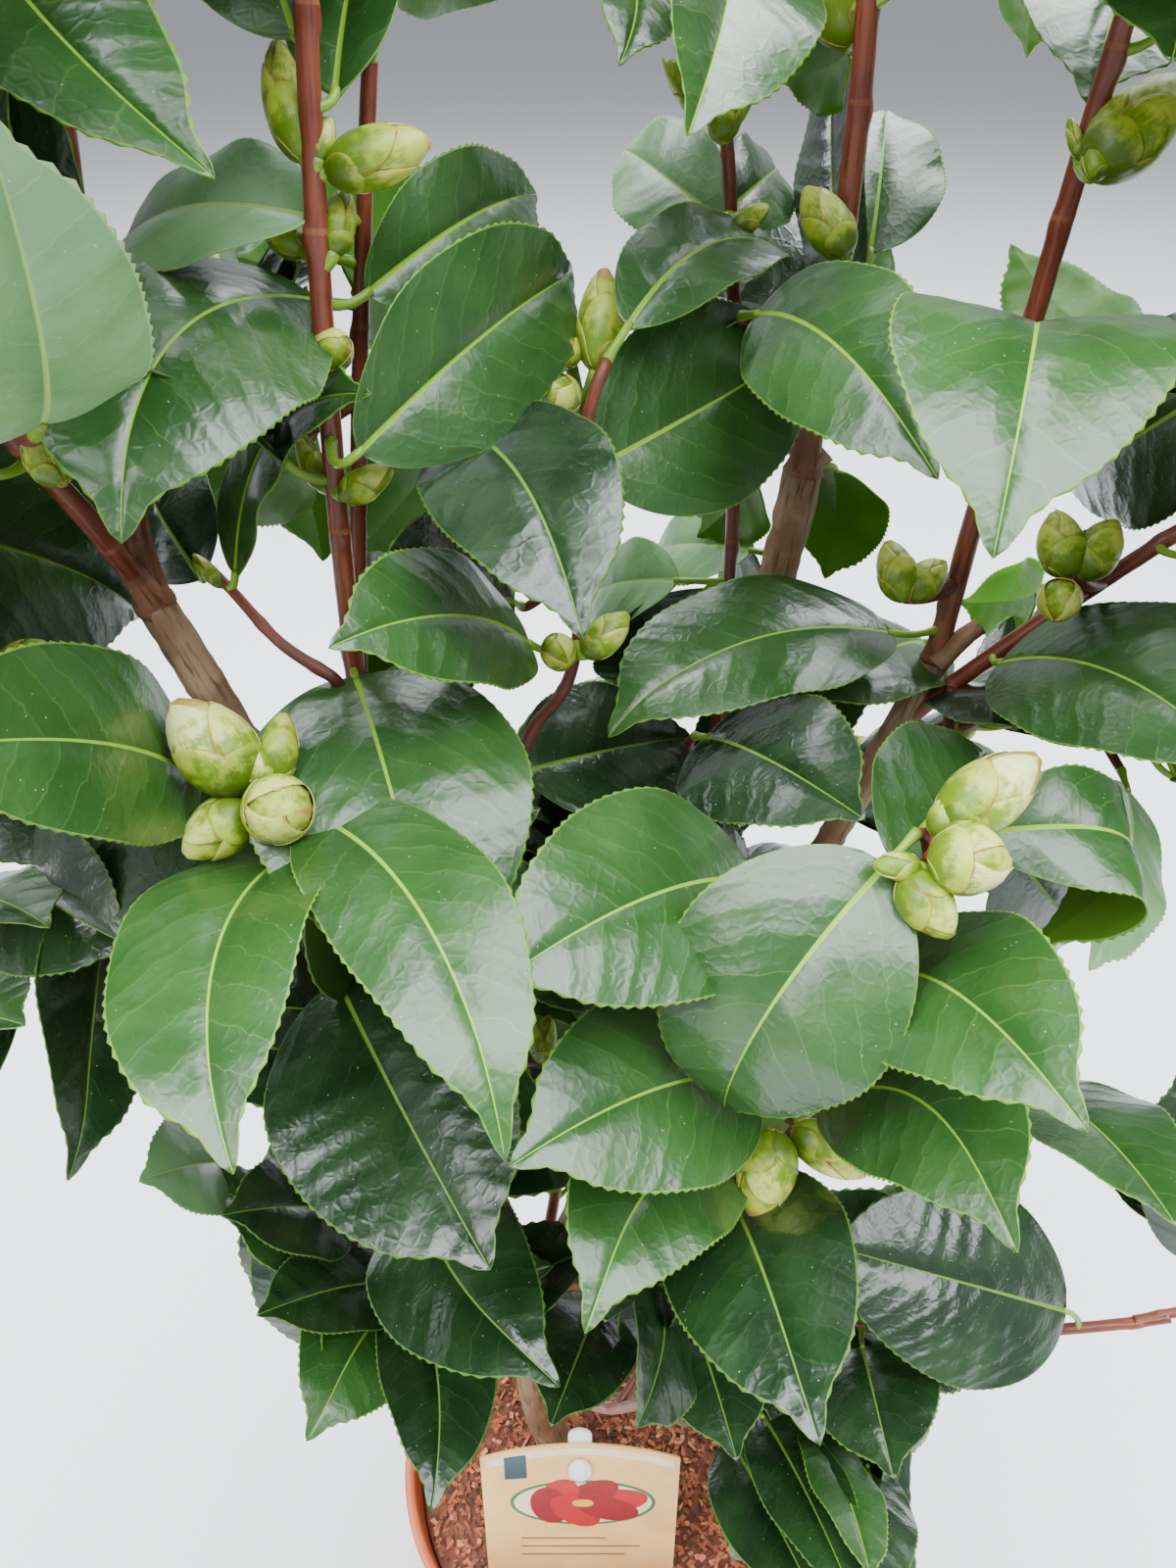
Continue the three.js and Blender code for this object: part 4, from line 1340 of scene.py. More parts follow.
SMALL, HALF, FAT = BudAge.SMALL, BudAge.HALF, BudAge.FAT
SEEN_BUDS = [
    SeenBud(*row)
    for row in (
        ((313, 166), (280, 40), 209, 10.5),
        ((322, 165), (338, 118), 208, 5, SMALL),
        ((330, 177), (442, 142), 210, 11),
        ((340, 262), (352, 190), 218, 7, SMALL),
        ((315, 258), (262, 218), 224, 8, SMALL),
        ((331, 364), (347, 350), 233, 9, SMALL, 11),
        ((346, 508), (402, 478), 243, 7.5, SMALL, 2),
        ((330, 500), (305, 440), 247, 6, SMALL),
        ((66, 494), (28, 436), 210, 9, SMALL),
        ((228, 600), (196, 565), 264, 4, SMALL),
        ((608, 380), (618, 272), 258, 11),
        ((582, 368), (573, 346), 262, 7.5, SMALL, 9),
        ((576, 412), (564, 394), 262, 10, HALF, 12),
        ((576, 674), (562, 654), 278, 9, HALF, 11),
        ((595, 670), (642, 625), 270, 9),
        ((866, 262), (820, 190), 263, 11),
        ((878, 45), (835, -50), 256, 16, FAT),
        ((728, 125), (676, 58), 270, 7, SMALL),
        ((735, 145), (745, 95), 268, 8, SMALL),
        ((745, 235), (786, 210), 275, 6, SMALL),
        ((1112, 178), (1208, 80), 238, 16, FAT),
        ((1104, 165), (1090, 118), 241, 3.5, SMALL),
        ((1114, 184), (1127, 140), 237, 6.5, SMALL),
        ((925, 615), (905, 550), 300, 11),
        ((925, 610), (965, 572), 300, 10),
        ((1090, 590), (1075, 520), 280, 12),
        ((1100, 590), (1140, 530), 280, 12),
        ((1080, 614), (1083, 610), 283, 11, SMALL, 12),
        ((258, 806), (174, 714), 238, 17, FAT, 3),
        ((278, 804), (290, 725), 240, 9, SMALL),
        ((277, 824), (294, 828), 240, 15, HALF, 15),
        ((256, 820), (187, 874), 239, 12.5, FAT, 2),
        ((262, 806), (268, 764), 236, 6, SMALL),
        ((958, 848), (1062, 770), 226, 14.5, FAT, 2),
        ((948, 870), (1034, 884), 224, 15, FAT, 8),
        ((922, 890), (972, 958), 224, 11, HALF, 2),
        ((955, 856), (978, 806), 225, 7, SMALL),
        ((940, 885), (890, 882), 224, 6, SMALL, 2),
        ((792, 1152), (770, 1248), 280, 15, FAT, 2),
        ((808, 1150), (886, 1200), 284, 12),
        ((550, 1085), (560, 1035), 330, 8, SMALL),
        ((960, 755), (1000, 735), 335, 8, SMALL),
        ((545, 1365), (552, 1310), 420, 5, SMALL),
    )
]


def add_slab(parts: MeshParts, outer: Array, inner: Array, slot: int = 0, rim_slot: int = 0) -> None:
    """Adds a thin curved plate between two grids of the same layout.

    Args:
        parts: What it is added to.
        outer: The outer grid's places.
        inner: The inner grid's places.
        slot: The material slot of the outer and the inner faces.
        rim_slot: The slot of the edge all round.
    """
    rows, columns = outer.shape[:2]
    number = np.arange(rows * columns).reshape(rows, columns)
    below = number + number.size
    rims = [
        np.stack([below[0, :-1], below[0, 1:], number[0, 1:], number[0, :-1]], -1),
        np.stack([number[-1, :-1], number[-1, 1:], below[-1, 1:], below[-1, :-1]], -1),
        np.stack([number[:-1, 0], number[1:, 0], below[1:, 0], below[:-1, 0]], -1),
        np.stack([below[:-1, -1], below[1:, -1], number[1:, -1], number[:-1, -1]], -1),
    ]
    rim = np.concatenate(rims)
    flat = 2 * (rows - 1) * (columns - 1)
    along, across = np.meshgrid(np.linspace(0, 2, rows), np.linspace(0, 1, columns), indexing="ij")
    parts.add(
        np.concatenate([outer.reshape(-1, 3), inner.reshape(-1, 3)]),
        [quads_of(number), quads_of(below)[..., [0, 3, 2, 1]], rim],
        np.repeat([slot, rim_slot], [flat, len(rim)]),
        {LIMB_MAP: np.tile(np.stack([across, along], -1).reshape(-1, 2), (2, 1))},
    )


BUD_SURFACE = Surface(0.44, 0.08, coat=0.06, relief=0.12, depth=0.0001, specular=0.4)
SCALE_FINISHES = [
    SkinFinish(f"bud_{name}", "scale", colours, BUD_SURFACE)
    for name, *colours in (
        ("olive", (70, 94, 6), (132, 150, 34), (146, 116, 54)),
        ("green", (84, 110, 6), (150, 168, 44), (160, 126, 60)),
        ("lime", (96, 124, 6), (172, 184, 64), (166, 130, 62)),
        ("pale", (106, 134, 8), (196, 204, 96), (180, 146, 78)),
        ("silk", (118, 144, 14), (216, 220, 140), (200, 170, 104)),
        ("dry", (160, 140, 70), (190, 172, 98), (206, 190, 128)),
    )
]
DRY_SCALE = len(SCALE_FINISHES) - 1


@dataclass(frozen=True)
class BudForm:
    """Shape of a winter bud: overlapping silky scales, short ones outside and long ones inside."""

    rows: int = 13
    columns: int = 12
    thickness: float = 0.24
    half_span: float = 1.42
    shortest: float = 0.32

    def profile(self, height: Array, radius: float) -> Array:
        """Returns the bud's radius at a share of its height."""
        share = np.clip(height, 1e-4, 1 - 1e-4)
        return radius * share**0.56 * (1 - share) ** 0.7 / (0.4444**0.56 * 0.5556**0.7)

    def build(self, parts: MeshParts, base: Array, tip: Array, width: float, scales: int, seed: int) -> None:
        """Adds one bud.

        Args:
            parts: What the bud is added to.
            base: The middle of its foot.
            tip: Its tip.
            width: Its greatest width.
            scales: How many scales it has.
            seed: The seed of its small differences.
        """
        rng = np.random.default_rng(seed)
        length = float(np.linalg.norm(tip - base))
        axis = (tip - base) / length
        across = unit(np.cross(axis, [0.3, 0.9, 0.2]))
        beside = np.cross(axis, across)
        heights = np.linspace(0.0, 0.97, 10)
        core = self.profile(heights, width / 2 * 0.885)
        add_tube(parts, base + np.outer(heights * length, axis), np.maximum(core, 0.15), 12, 2)
        v = np.linspace(0, 1, self.rows)
        u = np.linspace(-1, 1, self.columns)
        hug = 1 - 0.6 * smooth_step(0.4, 1.0, v)[:, None]
        for index in range(scales):
            order = index / (scales - 1)
            shade = 3.3 * order + 0.5 * (scales - BudAge.SMALL.value) + rng.uniform(-0.3, 0.3)
            tone = int(np.clip(shade, 0, 4))
            reach = (self.shortest + (1 - self.shortest) * order**0.8) * rng.uniform(0.94, 1.0)
            turn = rng.uniform(0, 0.3) + index * GOLDEN_TURN + seed
            span = self.half_span * rng.uniform(0.9, 1.05) * np.sqrt(1 - 0.985 * v**3)
            height = (0.02 + v * reach)[:, None] - 0.02 * u**2
            angle = turn + span[:, None] * u
            radius = self.profile(height, width / 2) * (0.9 + 0.1 * (1 - order) * hug) + 0.012 * width
            keel = 0.008 * width * np.exp(-((u / 0.2) ** 2)) * v[:, None]
            radius = radius + keel + 0.03 * np.sin(31 * angle)
            ring = np.cos(angle)[..., None] * across + np.sin(angle)[..., None] * beside
            outer = base + (height * length)[..., None] * axis + radius[..., None] * ring
            inner = outer - (self.thickness * (1 - 0.5 * v))[:, None, None] * ring
            add_slab(parts, outer, inner, tone, DRY_SCALE)


# The crown: what grows on the limbs


@dataclass
class OpenView:
    """What the photograph shows between the seen leaves.

    A grown leaf may show only inside the shaded places, which are pixel boxes where the photograph
    has further foliage. Elsewhere the seen leaves in front have to hide it.
    """

    camera: PhotoCamera
    cell: int = 8
    allowed: float = 0.03
    far_away: float = 1e6
    shaded: tuple[tuple[int, int, int, int], ...] = (
        (525, 740, 700, 870), (640, 770, 740, 830), (285, 900, 350, 1010), (490, 1010, 600, 1320),
        (225, 1180, 350, 1290), (545, 1330, 700, 1440), (1000, 780, 1110, 960), (985, 590, 1070, 650),
        (100, 480, 200, 570), (560, 700, 640, 790), (860, 1180, 960, 1260), (860, 700, 900, 780),
        (700, 1330, 800, 1460), (380, 540, 520, 600), (880, 1400, 950, 1500),
    )

    def __post_init__(self) -> None:
        """Makes a depth for each cell of the view, with nothing there at first."""
        self.depths = np.full((self.camera.high // self.cell, self.camera.wide // self.cell), self.far_away)

    def cells(self, points: Array) -> tuple[Array, Array, Array, Array]:
        """Returns the cell and the depth of each place, and whether it is in the frame."""
        x, y, depth = self.camera.project(points.reshape(-1, 3)).T
        inside = (x >= 0) & (x < self.camera.wide) & (y >= 0) & (y < self.camera.high) & (depth > 10)
        column = np.clip(x // self.cell, 0, self.depths.shape[1] - 1).astype(int)
        row = np.clip(y // self.cell, 0, self.depths.shape[0] - 1).astype(int)
        return row, column, depth, inside

    def cover(self, points: Array) -> None:
        """Marks the cells that a shape hides."""
        row, column, depth, inside = self.cells(points)
        np.minimum.at(self.depths, (row[inside], column[inside]), depth[inside])

    def share_shown(self, points: Array) -> float:
        """Returns the share of a shape that would show where it should not."""
        row, column, depth, inside = self.cells(points)
        cover = self.depths[row, column]
        open_cell = cover == self.far_away
        shown = inside & (depth < cover + 2)
        x, y = (column + 0.5) * self.cell, (row + 0.5) * self.cell
        for left, top, right, bottom in self.shaded:
            shown &= ~((x >= left) & (x <= right) & (y >= top) & (y <= bottom) & open_cell)
        in_front = inside & (depth < cover - 2) & ~open_cell
        return float((shown | in_front).mean())


MASSES = [node for node in frame["nodes"] if node.startswith("leaves_")]
FORM_SPANS = {
    "bow": (0.06, 0.16), "sweep": (-0.07, 0.07), "fold": (5, 16), "droop": (0.08, 0.18), "curl": (0, 0.07),
    "twist": (-12, 12), "wave": (0.5, 1.6), "phase": (0, 6), "ripple": (0.12, 0.26),
}


@dataclass
class Crown:
    """All leaves, their stalks, the twigs and the buds."""

    framework: Framework
    camera: PhotoCamera
    groups: Groups
    seed: int = 7
    node_gap: tuple[float, float] = (15.0, 21.0)
    leaf_length: tuple[float, float] = (60.0, 84.0)
    stalk: float = 9.0
    longest_stalk: float = 17.0
    twig_reach: tuple[float, float] = (9.0, 120.0)
    clearance: float = 5.5
    lowest: float = 158.0
    mass_twigs: int = 9
    back_twigs: int = 14
    leaves: list[Leaf] = field(default_factory=list)
    stalks: MeshParts = field(default_factory=MeshParts)
    twigs: MeshParts = field(default_factory=MeshParts)
    buds: MeshParts = field(default_factory=MeshParts)
    grown_buds: MeshParts = field(default_factory=MeshParts)
    spines: list[Array] = field(default_factory=list)

    def __post_init__(self) -> None:
        """Sets up the random draw, the box, the view and the two forms of bud."""
        self.rng = np.random.default_rng(self.seed)
        self.low, self.high = in_mm(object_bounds())
        self.view = OpenView(self.camera)
        self.bud_form, self.plain_bud = BudForm(), BudForm(rows=8, columns=9)

    def gap(self, points: Array) -> float:
        """Returns how close a shape comes to the midribs and twigs that are there already."""
        return float(np.linalg.norm(points[:, None] - np.concatenate(self.spines)[None], axis=2).min())

    def add_leaf(self, leaf: Leaf, foot: Array, foot_radius: float) -> None:
        """Adds a leaf and its yellow-green stalk.

        Args:
            leaf: The leaf.
            foot: Where the stalk starts.
            foot_radius: Its radius there.
        """
        way = leaf.way()
        control = leaf.base - way * min(0.55 * float(np.linalg.norm(leaf.base - foot)), 12)
        share = np.linspace(0, 1, 9)
        radii = foot_radius + (0.95 - foot_radius) * smooth_step(0, 0.5, share)
        add_tube(self.stalks, quadratic((foot, control, leaf.base + 1.2 * way), share), radii, 9)
        self.leaves.append(leaf)
        self.spines.append(leaf.spine())

    def add_seen(self, leaf: Leaf) -> None:
        """Adds a leaf of the photograph, with a short twig where the limb is further off."""
        way = leaf.way()
        foot = self.framework.nearest(leaf.base, way)
        if float(np.linalg.norm(leaf.base - foot)) > self.longest_stalk:
            joint = leaf.base - way * self.stalk
            self.add_twig(self.hidden_path(leaf.base, joint, way), 1.6, 1.2)
            foot = joint - 0.5 * way
        self.add_leaf(leaf, foot, 1.35)

    def hidden_path(self, place: Array, joint: Array, way: Array) -> Array:
        """Leads a twig from the limb to a leaf's stalk, behind other leaves where it can.

        Args:
            place: The leaf's base.
            joint: Where the twig ends.
            way: The way that the leaf's midrib starts.

        Returns:
            Places along the twig.
        """
        costs = self.framework.costs(place, way)
        near = np.argsort(costs)
        near = near[costs[near] < costs[near[0]] + 50][::3][:24]
        best, least = None, math.inf
        for foot, cost in zip(self.framework.samples[near], costs[near]):
            gap = float(np.linalg.norm(place - foot))
            control = joint - way * 0.35 * gap
            control[2] = min(control[2], joint[2]) - 0.08 * gap
            path = quadratic((foot, control, joint), np.linspace(0, 1, max(int(gap / 2.5), 6)))
            cost = cost + 2.5 * self.view.share_shown(path) * gap
            if cost < least:
                best, least = path, cost
        return best

    def add_twig(self, path: Array, start: float, end: float) -> None:
        """Adds a red-brown twig along a path."""
        along = distances(path)
        radii = start + (end - start) * np.linspace(0, 1, len(path))
        radii = radii + 0.5 * np.exp(-along / 3) + 0.22 * np.exp(-(((along % 16) - 8) ** 2) / 2.5)
        add_tube(self.twigs, path, radii, 10)

    def fits(self, leaf: Leaf) -> bool:
        """Says whether a grown leaf is inside the box, clear of the others and where foliage may show."""
        spine = leaf.spine()
        low, high = spine.min(0), spine.max(0)
        if (low < self.low + [4, 4, 0]).any() or (high > self.high - [4, 4, 3]).any() or low[2] < self.lowest:
            return False
        if np.linalg.norm(spine[:, :2], axis=1).min() < leaf.width * 0.1 and low[2] < 230:
            return False
        if self.gap(spine[1:]) < self.clearance:
            return False
        return self.view.share_shown(FINE_GRID.sheet(leaf)[::3]) <= self.view.allowed

    def grow_leaf(self, node: Array, along: Array, turn: float, radius: float, near_tip: float) -> bool:
        """Tries to grow one leaf at a node.

        Args:
            node: The place on the twig's middle.
            along: The way that the twig runs there.
            turn: Which side of the twig the leaf is on, as an angle.
            radius: The twig's radius.
            near_tip: 0 at the twig's foot and 1 at its tip.

        Returns:
            Whether the leaf fitted.
        """
        rng = self.rng
        across = unit(np.cross(along, [0.2, 0.1, 1.0]) + 1e-4)
        beside = np.cross(along, across)
        away = unit(node - [0.0, 15.0, node[2]] + 1e-3)
        for attempt in range(4):
            angle = turn + rng.uniform(-0.35, 0.35) + attempt * 0.9
            side = math.cos(angle) * across + math.sin(angle) * beside
            opening = math.radians(rng.uniform(38, 70) - 14 * near_tip)
            way = unit(math.cos(opening) * along + math.sin(opening) * side + 0.25 * away)
            way = unit(way - [0, 0, rng.uniform(0.0, 0.35)])
            length = rng.uniform(*self.leaf_length)
            up = unit(np.array([0, 0, 1.0]) + 0.45 * away + 0.3 * rng.normal(size=3))
            if np.linalg.norm(np.cross(up, way)) < 0.35:
                up = unit(up + 0.8 * away - 0.5 * along)
            base = node + side * radius * 0.6 + way * self.stalk
            width = length * rng.uniform(0.5, 0.6)
            form = {name: rng.uniform(*span) for name, span in FORM_SPANS.items()}
            leaf = Leaf(base, base + way * length, up, width, self.grown_tone(base), False, **form)
            if self.fits(leaf):
                self.add_leaf(leaf, node + 0.4 * radius * side, 1.3)
                return True
        return False

    def grown_tone(self, place: Array) -> Tone:
        """Returns a leaf's tone: shaded inside the crown, paler outside and high up."""
        inside = abs(place[0]) < 95 and abs(place[1] - 15) < 60 and place[2] < 560
        x, y, _ = self.camera.project(place)
        draw = self.rng.uniform()
        if inside or (-100 < x < 1300 and -100 < y < 1700):
            return Tone.SHADE if draw < 0.8 else Tone.GREEN
        if draw < 0.12:
            return Tone.PALE
        return Tone.SHADE if draw < 0.4 else Tone.GREEN

    def dress_path(self, path: Array, radius: tuple[float, float], start: float, rosette: int) -> int:
        """Grows leaves along a twig or shoot.

        Args:
            path: The places along it.
            radius: Its radius at its foot and tip.
            start: The share of its length from which it bears leaves.
            rosette: How many leaves crowd round its tip.

        Returns:
            How many leaves grew.
        """
        along = distances(path)
        turn = self.rng.uniform(0, math.tau)
        place, places, grown = along[-1] * start, [], 0
        while place < along[-1] - 6:
            places.append(place)
            place += self.rng.uniform(*self.node_gap)
        places += list(along[-1] - 1.5 - np.arange(rosette) * 2.4)
        columns = np.concatenate([path, np.gradient(path, axis=0)], 1).T
        for place in places:
            share = place / along[-1]
            here = np.array([np.interp(place, along, column) for column in columns])
            thick = radius[0] + (radius[1] - radius[0]) * share
            turn += GOLDEN_TURN
            grown += self.grow_leaf(here[:3], unit(here[3:]), turn, thick, share)
        return grown

    def grow_mass(self, node: str, twigs: int) -> None:
        """Fills the place of one packed mass with leafy twigs.

        Args:
            node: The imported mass.
            twigs: How many twigs to try.
        """
        low, high = in_mm(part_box(node))
        for _ in range(twigs):
            goal = (low + high) / 2 + (high - low) / 2 * self.rng.uniform(-0.62, 0.62, 3)
            foot = self.framework.nearest(goal - [0, 0, 22])
            gap = float(np.linalg.norm(goal - foot))
            if not self.twig_reach[0] <= gap <= self.twig_reach[1]:
                continue
            bend = (foot + goal) / 2 + [0, 0, -0.14 * gap] + self.rng.normal(size=3) * 0.05 * gap
            path = quadratic((foot, bend, goal), np.linspace(0, 1, max(int(gap / 3), 8)))
            if self.gap(path[-1:]) < 6 or self.view.share_shown(path) > 0.06:
                continue
            if self.dress_path(path, (1.9, 1.4), 0.45 if gap > 40 else 0.75, 3) < 2:
                continue
            self.add_twig(path, 1.9, 1.4)
            self.spines.append(path[len(path) // 2 :])
            self.grow_bud(path[-1], unit(path[-1] - path[-3]), self.rng.uniform(5, 12))

    def grow_bud(self, place: Array, way: Array, width: float) -> None:
        """Grows a bud at a twig's tip unless it would show against the photograph's background."""
        tip = place + way * width * self.rng.uniform(1.35, 1.6)
        if (tip > self.high - 2).any() or (tip < self.low + 2).any():
            return
        if self.view.share_shown(np.linspace(place, tip, 5)) <= 0.1:
            scales = BudAge.SMALL.value if width < 7 else BudAge.HALF.value
            seed = int(self.rng.integers(1 << 20))
            self.plain_bud.build(self.grown_buds, place - way, tip, width, scales, seed)

    def add_seen_bud(self, index: int, bud: SeenBud) -> None:
        """Adds a bud of the photograph on a short stalk."""
        base = self.camera.point(bud.base, bud.depth)
        tip = self.camera.point(bud.tip, bud.depth - bud.lean)
        self.bud_form.build(self.buds, base, tip, bud.width, bud.age.value, 50 + index)
        foot = self.framework.nearest(base)
        gap = float(np.linalg.norm(base - foot))
        if gap <= 1.5:
            return
        control = (foot + base) / 2 - unit(tip - base) * min(0.15 * gap, 3)
        path = quadratic((foot, control, base + unit(tip - base)), np.linspace(0, 1, max(int(gap / 2), 6)))
        if gap > self.longest_stalk:
            self.add_twig(path, 1.6, 1.4)
        else:
            add_tube(self.stalks, path, np.linspace(1.6, 1.5, len(path)), 9)

    def region(self, place: Array) -> str:
        """Returns the spray that a place belongs to."""
        x, y, z = place
        if z < 395:
            return "low_front" if y < 12 else "low_back"
        if y > 48:
            return "back_left" if x < 0 else "back_right"
        if z > 655:
            return "top_left" if x < 0 else "top_right"
        if x < -62:
            return "left"
        if x > 78:
            return "right"
        return "middle_left" if x < 10 else "middle_right"

    def build_sprays(self) -> None:
        """Joins the blades into one piece for each spray, which stands for the masses there."""
        materials = [part for tone in Tone for part in LEAF_FINISHES[tone].build(self.groups)]
        layouts = {grid: grid.faces() for grid in (FINE_GRID, LIGHT_GRID)}
        sprays: dict[str, MeshParts] = {}
        for index, leaf in enumerate(self.leaves):
            parts = sprays.setdefault(self.region((leaf.base + leaf.tip) / 2), MeshParts())
            grid = FINE_GRID if leaf.fine else LIGHT_GRID
            faces, slots = layouts[grid]
            vertices, places = grid.points(leaf)
            places = places + [0.0, 0.37 * (index % 29)]
            parts.add(vertices, faces, slots + 4 * leaf.tone.value, {LEAF_MAP: places})
        masses: dict[str, list[str]] = {name: [] for name in sprays}
        for node in MASSES:
            wanted = self.region(sum(in_mm(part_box(node))) / 2)
            masses[wanted if wanted in masses else next(iter(masses))].append(node)
        for name, parts in sprays.items():
            register(parts.build(f"spray_{name}", materials), masses[name])

    def build(self) -> None:
        """Grows and joins the whole crown."""
        for seen_twig in SEEN_TWIGS:
            path = seen_twig.path(self.camera)
            foot = self.framework.nearest(path[0] - [0, 0, 20])
            lead = quadratic((foot, path[0] * 2 - path[3], path[0]), np.linspace(0, 1, 12))
            self.add_twig(np.concatenate([lead[:-1], path]), *seen_twig.radii)
            self.framework.join(path)
        placed = [leaf.place(self.camera) for leaf in SEEN_LEAVES]
        for leaf in placed:
            self.view.cover(FINE_GRID.sheet(leaf))
        for leaf in placed:
            self.add_seen(leaf)
        for index, bud in enumerate(SEEN_BUDS):
            self.add_seen_bud(index, bud)
        for name, limb in LIMBS.items():
            if limb.growth is Growth.YOUNG:
                path = quadratic(self.framework.curves[name], np.linspace(0, 1, 40))
                self.dress_path(path, limb.radii, 0.3, 4)
        before = len(self.leaves)
        for node in MASSES:
            self.grow_mass(node, self.back_twigs if "back" in node else self.mass_twigs)
        seen_count = len(SEEN_LEAVES)
        counts = (seen_count, before - seen_count, len(self.leaves) - before)
        log.info("leaves: %d seen, %d on shoots, %d on twigs", *counts)
        self.build_sprays()
        stalk, twig = (
            SkinFinish(name, "tissue", colours, surface, "Sheen Mask").build(self.groups)
            for name, colours, surface in (
                ("leaf_stalk", ((120, 156, 34), (98, 130, 30)), Surface(0.45, 0.08, coat=0.1, relief=0.2)),
                ("red_twig", ((106, 46, 28), (84, 38, 24)), Surface(0.5, 0.08, relief=0.3)),
            )
        )
        scales = [finish.build(self.groups) for finish in SCALE_FINISHES]
        register(self.stalks.build("leaf_stalks", [stalk]))
        register(self.twigs.build("fine_twigs", [twig]))
        register(self.buds.build("front_buds", scales))
        register(self.grown_buds.build("grown_buds", scales))


# Pot, compost and label


@dataclass(frozen=True)
class Pot:
    """A moulded plastic pot with a stepped, rounded lip, in millimetres."""

    base_radius: float = 60.0
    slope: float = 22.4 / 150
    wall: float = 2.2
    floor: float = 3.0
    lip_foot: float = 128.0
    lip_step: float = 2.6
    sides: int = 144

    def radius(self, height: float) -> float:
        """Returns the wall's outer radius at a height."""
        return self.base_radius + self.slope * height

    def profile(self) -> list[tuple[float, float]]:
        """Returns the radius and height of each ring, up the outside and down the inside."""
        foot = self.lip_foot
        outside = [(58.9, 0), (59.8, 0.5), (60.3, 1.6)]
        outside += [(self.radius(z), z) for z in (6, 20, 45, 70, 95, 115, foot - 0.8)]
        lip = [(self.radius(foot) + 0.5, foot - 0.1), (self.radius(foot) + 1.9, foot + 0.3)]
        lip += [(self.radius(foot) + self.lip_step, foot + 1.3), (self.radius(139) + self.lip_step, 139)]
        lip += [(self.radius(148) + self.lip_step - 0.1, 148), (84.6, 149.3), (83.7, 149.9), (82.6, 150)]
        lip += [(81.3, 149.9), (80.5, 149.3), (80.1, 148)]
        inside = [(self.radius(z) - self.wall, z) for z in (140, 120, 90, 60, 30, 8)]
        return outside + lip + inside + [(self.radius(4) - self.wall - 0.8, 4), (57.2, self.floor)]

    def build(self) -> None:
        """Turns the pot from its rings and dresses it."""
        rings = self.profile()
        select_only()
        bpy.ops.mesh.primitive_circle_add(vertices=self.sides, radius=rings[0][0] * MM, fill_type="NGON")
        pot = bpy.context.object
        pot.name = "pot_shell"
        bpy.ops.object.mode_set(mode="EDIT")
        bpy.ops.mesh.select_all(action="SELECT")
        for (before, low), (after, high) in zip(rings, rings[1:]):
            bpy.ops.mesh.extrude_region_move(TRANSFORM_OT_translate={"value": (0, 0, (high - low) * MM)})
            share = after / before
            bpy.ops.transform.resize(value=(share, share, 1), center_override=(0, 0, high * MM))
        bpy.ops.mesh.select_all(action="SELECT")
        bpy.ops.mesh.normals_make_consistent(inside=False)
        select_only(pot)
        pot.data.materials.append(self.plastic())
        bpy.ops.object.shade_smooth_by_angle(angle=math.radians(40))
        register(pot, ["pot"])

    def plastic(self) -> Material:
        """Returns terracotta-coloured plastic with faint turning lines, scuffs and splashes of compost."""
        finish = Finish("pot_plastic", Surface(0.46, 0.08, relief=0.15, depth=0.0003))
        wiring = finish.wiring
        height = wiring.add("ShaderNodeSeparateXYZ", {0: finish.place}).outputs[2]
        cloud = finish.noise(16.0, 4.0)
        body = wiring.mixed(wiring.ramp(cloud, 0.4, 0.65), linear((178, 82, 48)), linear((192, 98, 62)))
        dirt = wiring.math("MULTIPLY", wiring.ramp(finish.noise(75.0, 5.0), 0.55, 0.7), 0.5)
        foot = wiring.math("SUBTRACT", 1.0, wiring.ramp(height, 0.0, 0.05))
        foot_dirt = wiring.math("MULTIPLY", dirt, wiring.math("MULTIPLY_ADD", foot, 0.8, 0.3))
        finish.colour(wiring.mixed(foot_dirt, body, linear((112, 74, 52))))
        finish.rough(cloud)
        wave = {"Vector": finish.place, "Scale": 260.0, "Distortion": 0.4}
        lines = wiring.add("ShaderNodeTexWave", wave, bands_direction="Z")
        finish.bump(lines.outputs["Fac"], 0.08, 0.0001)
        finish.bump(finish.noise(1600.0, 2.0), 0.12, 0.0001)
        return finish.material


COMPOST_SURFACE = Surface(0.85, 0.08, relief=0.6, depth=0.0006)
COMPOST_FINISHES = [
    MadeFinish(*tones, COMPOST_SURFACE)
    for tones in (
        ("compost_bed", (116, 66, 42), (84, 46, 32), 160, 1200),
        ("chip_red", (176, 98, 62), (146, 76, 48), 240, 1500),
        ("chip_brown", (142, 82, 54), (112, 64, 42), 240, 1500),
        ("chip_tan", (206, 138, 96), (180, 112, 76), 240, 1500),
        ("chip_dark", (92, 54, 38), (70, 42, 30), 240, 1500),
    )
]


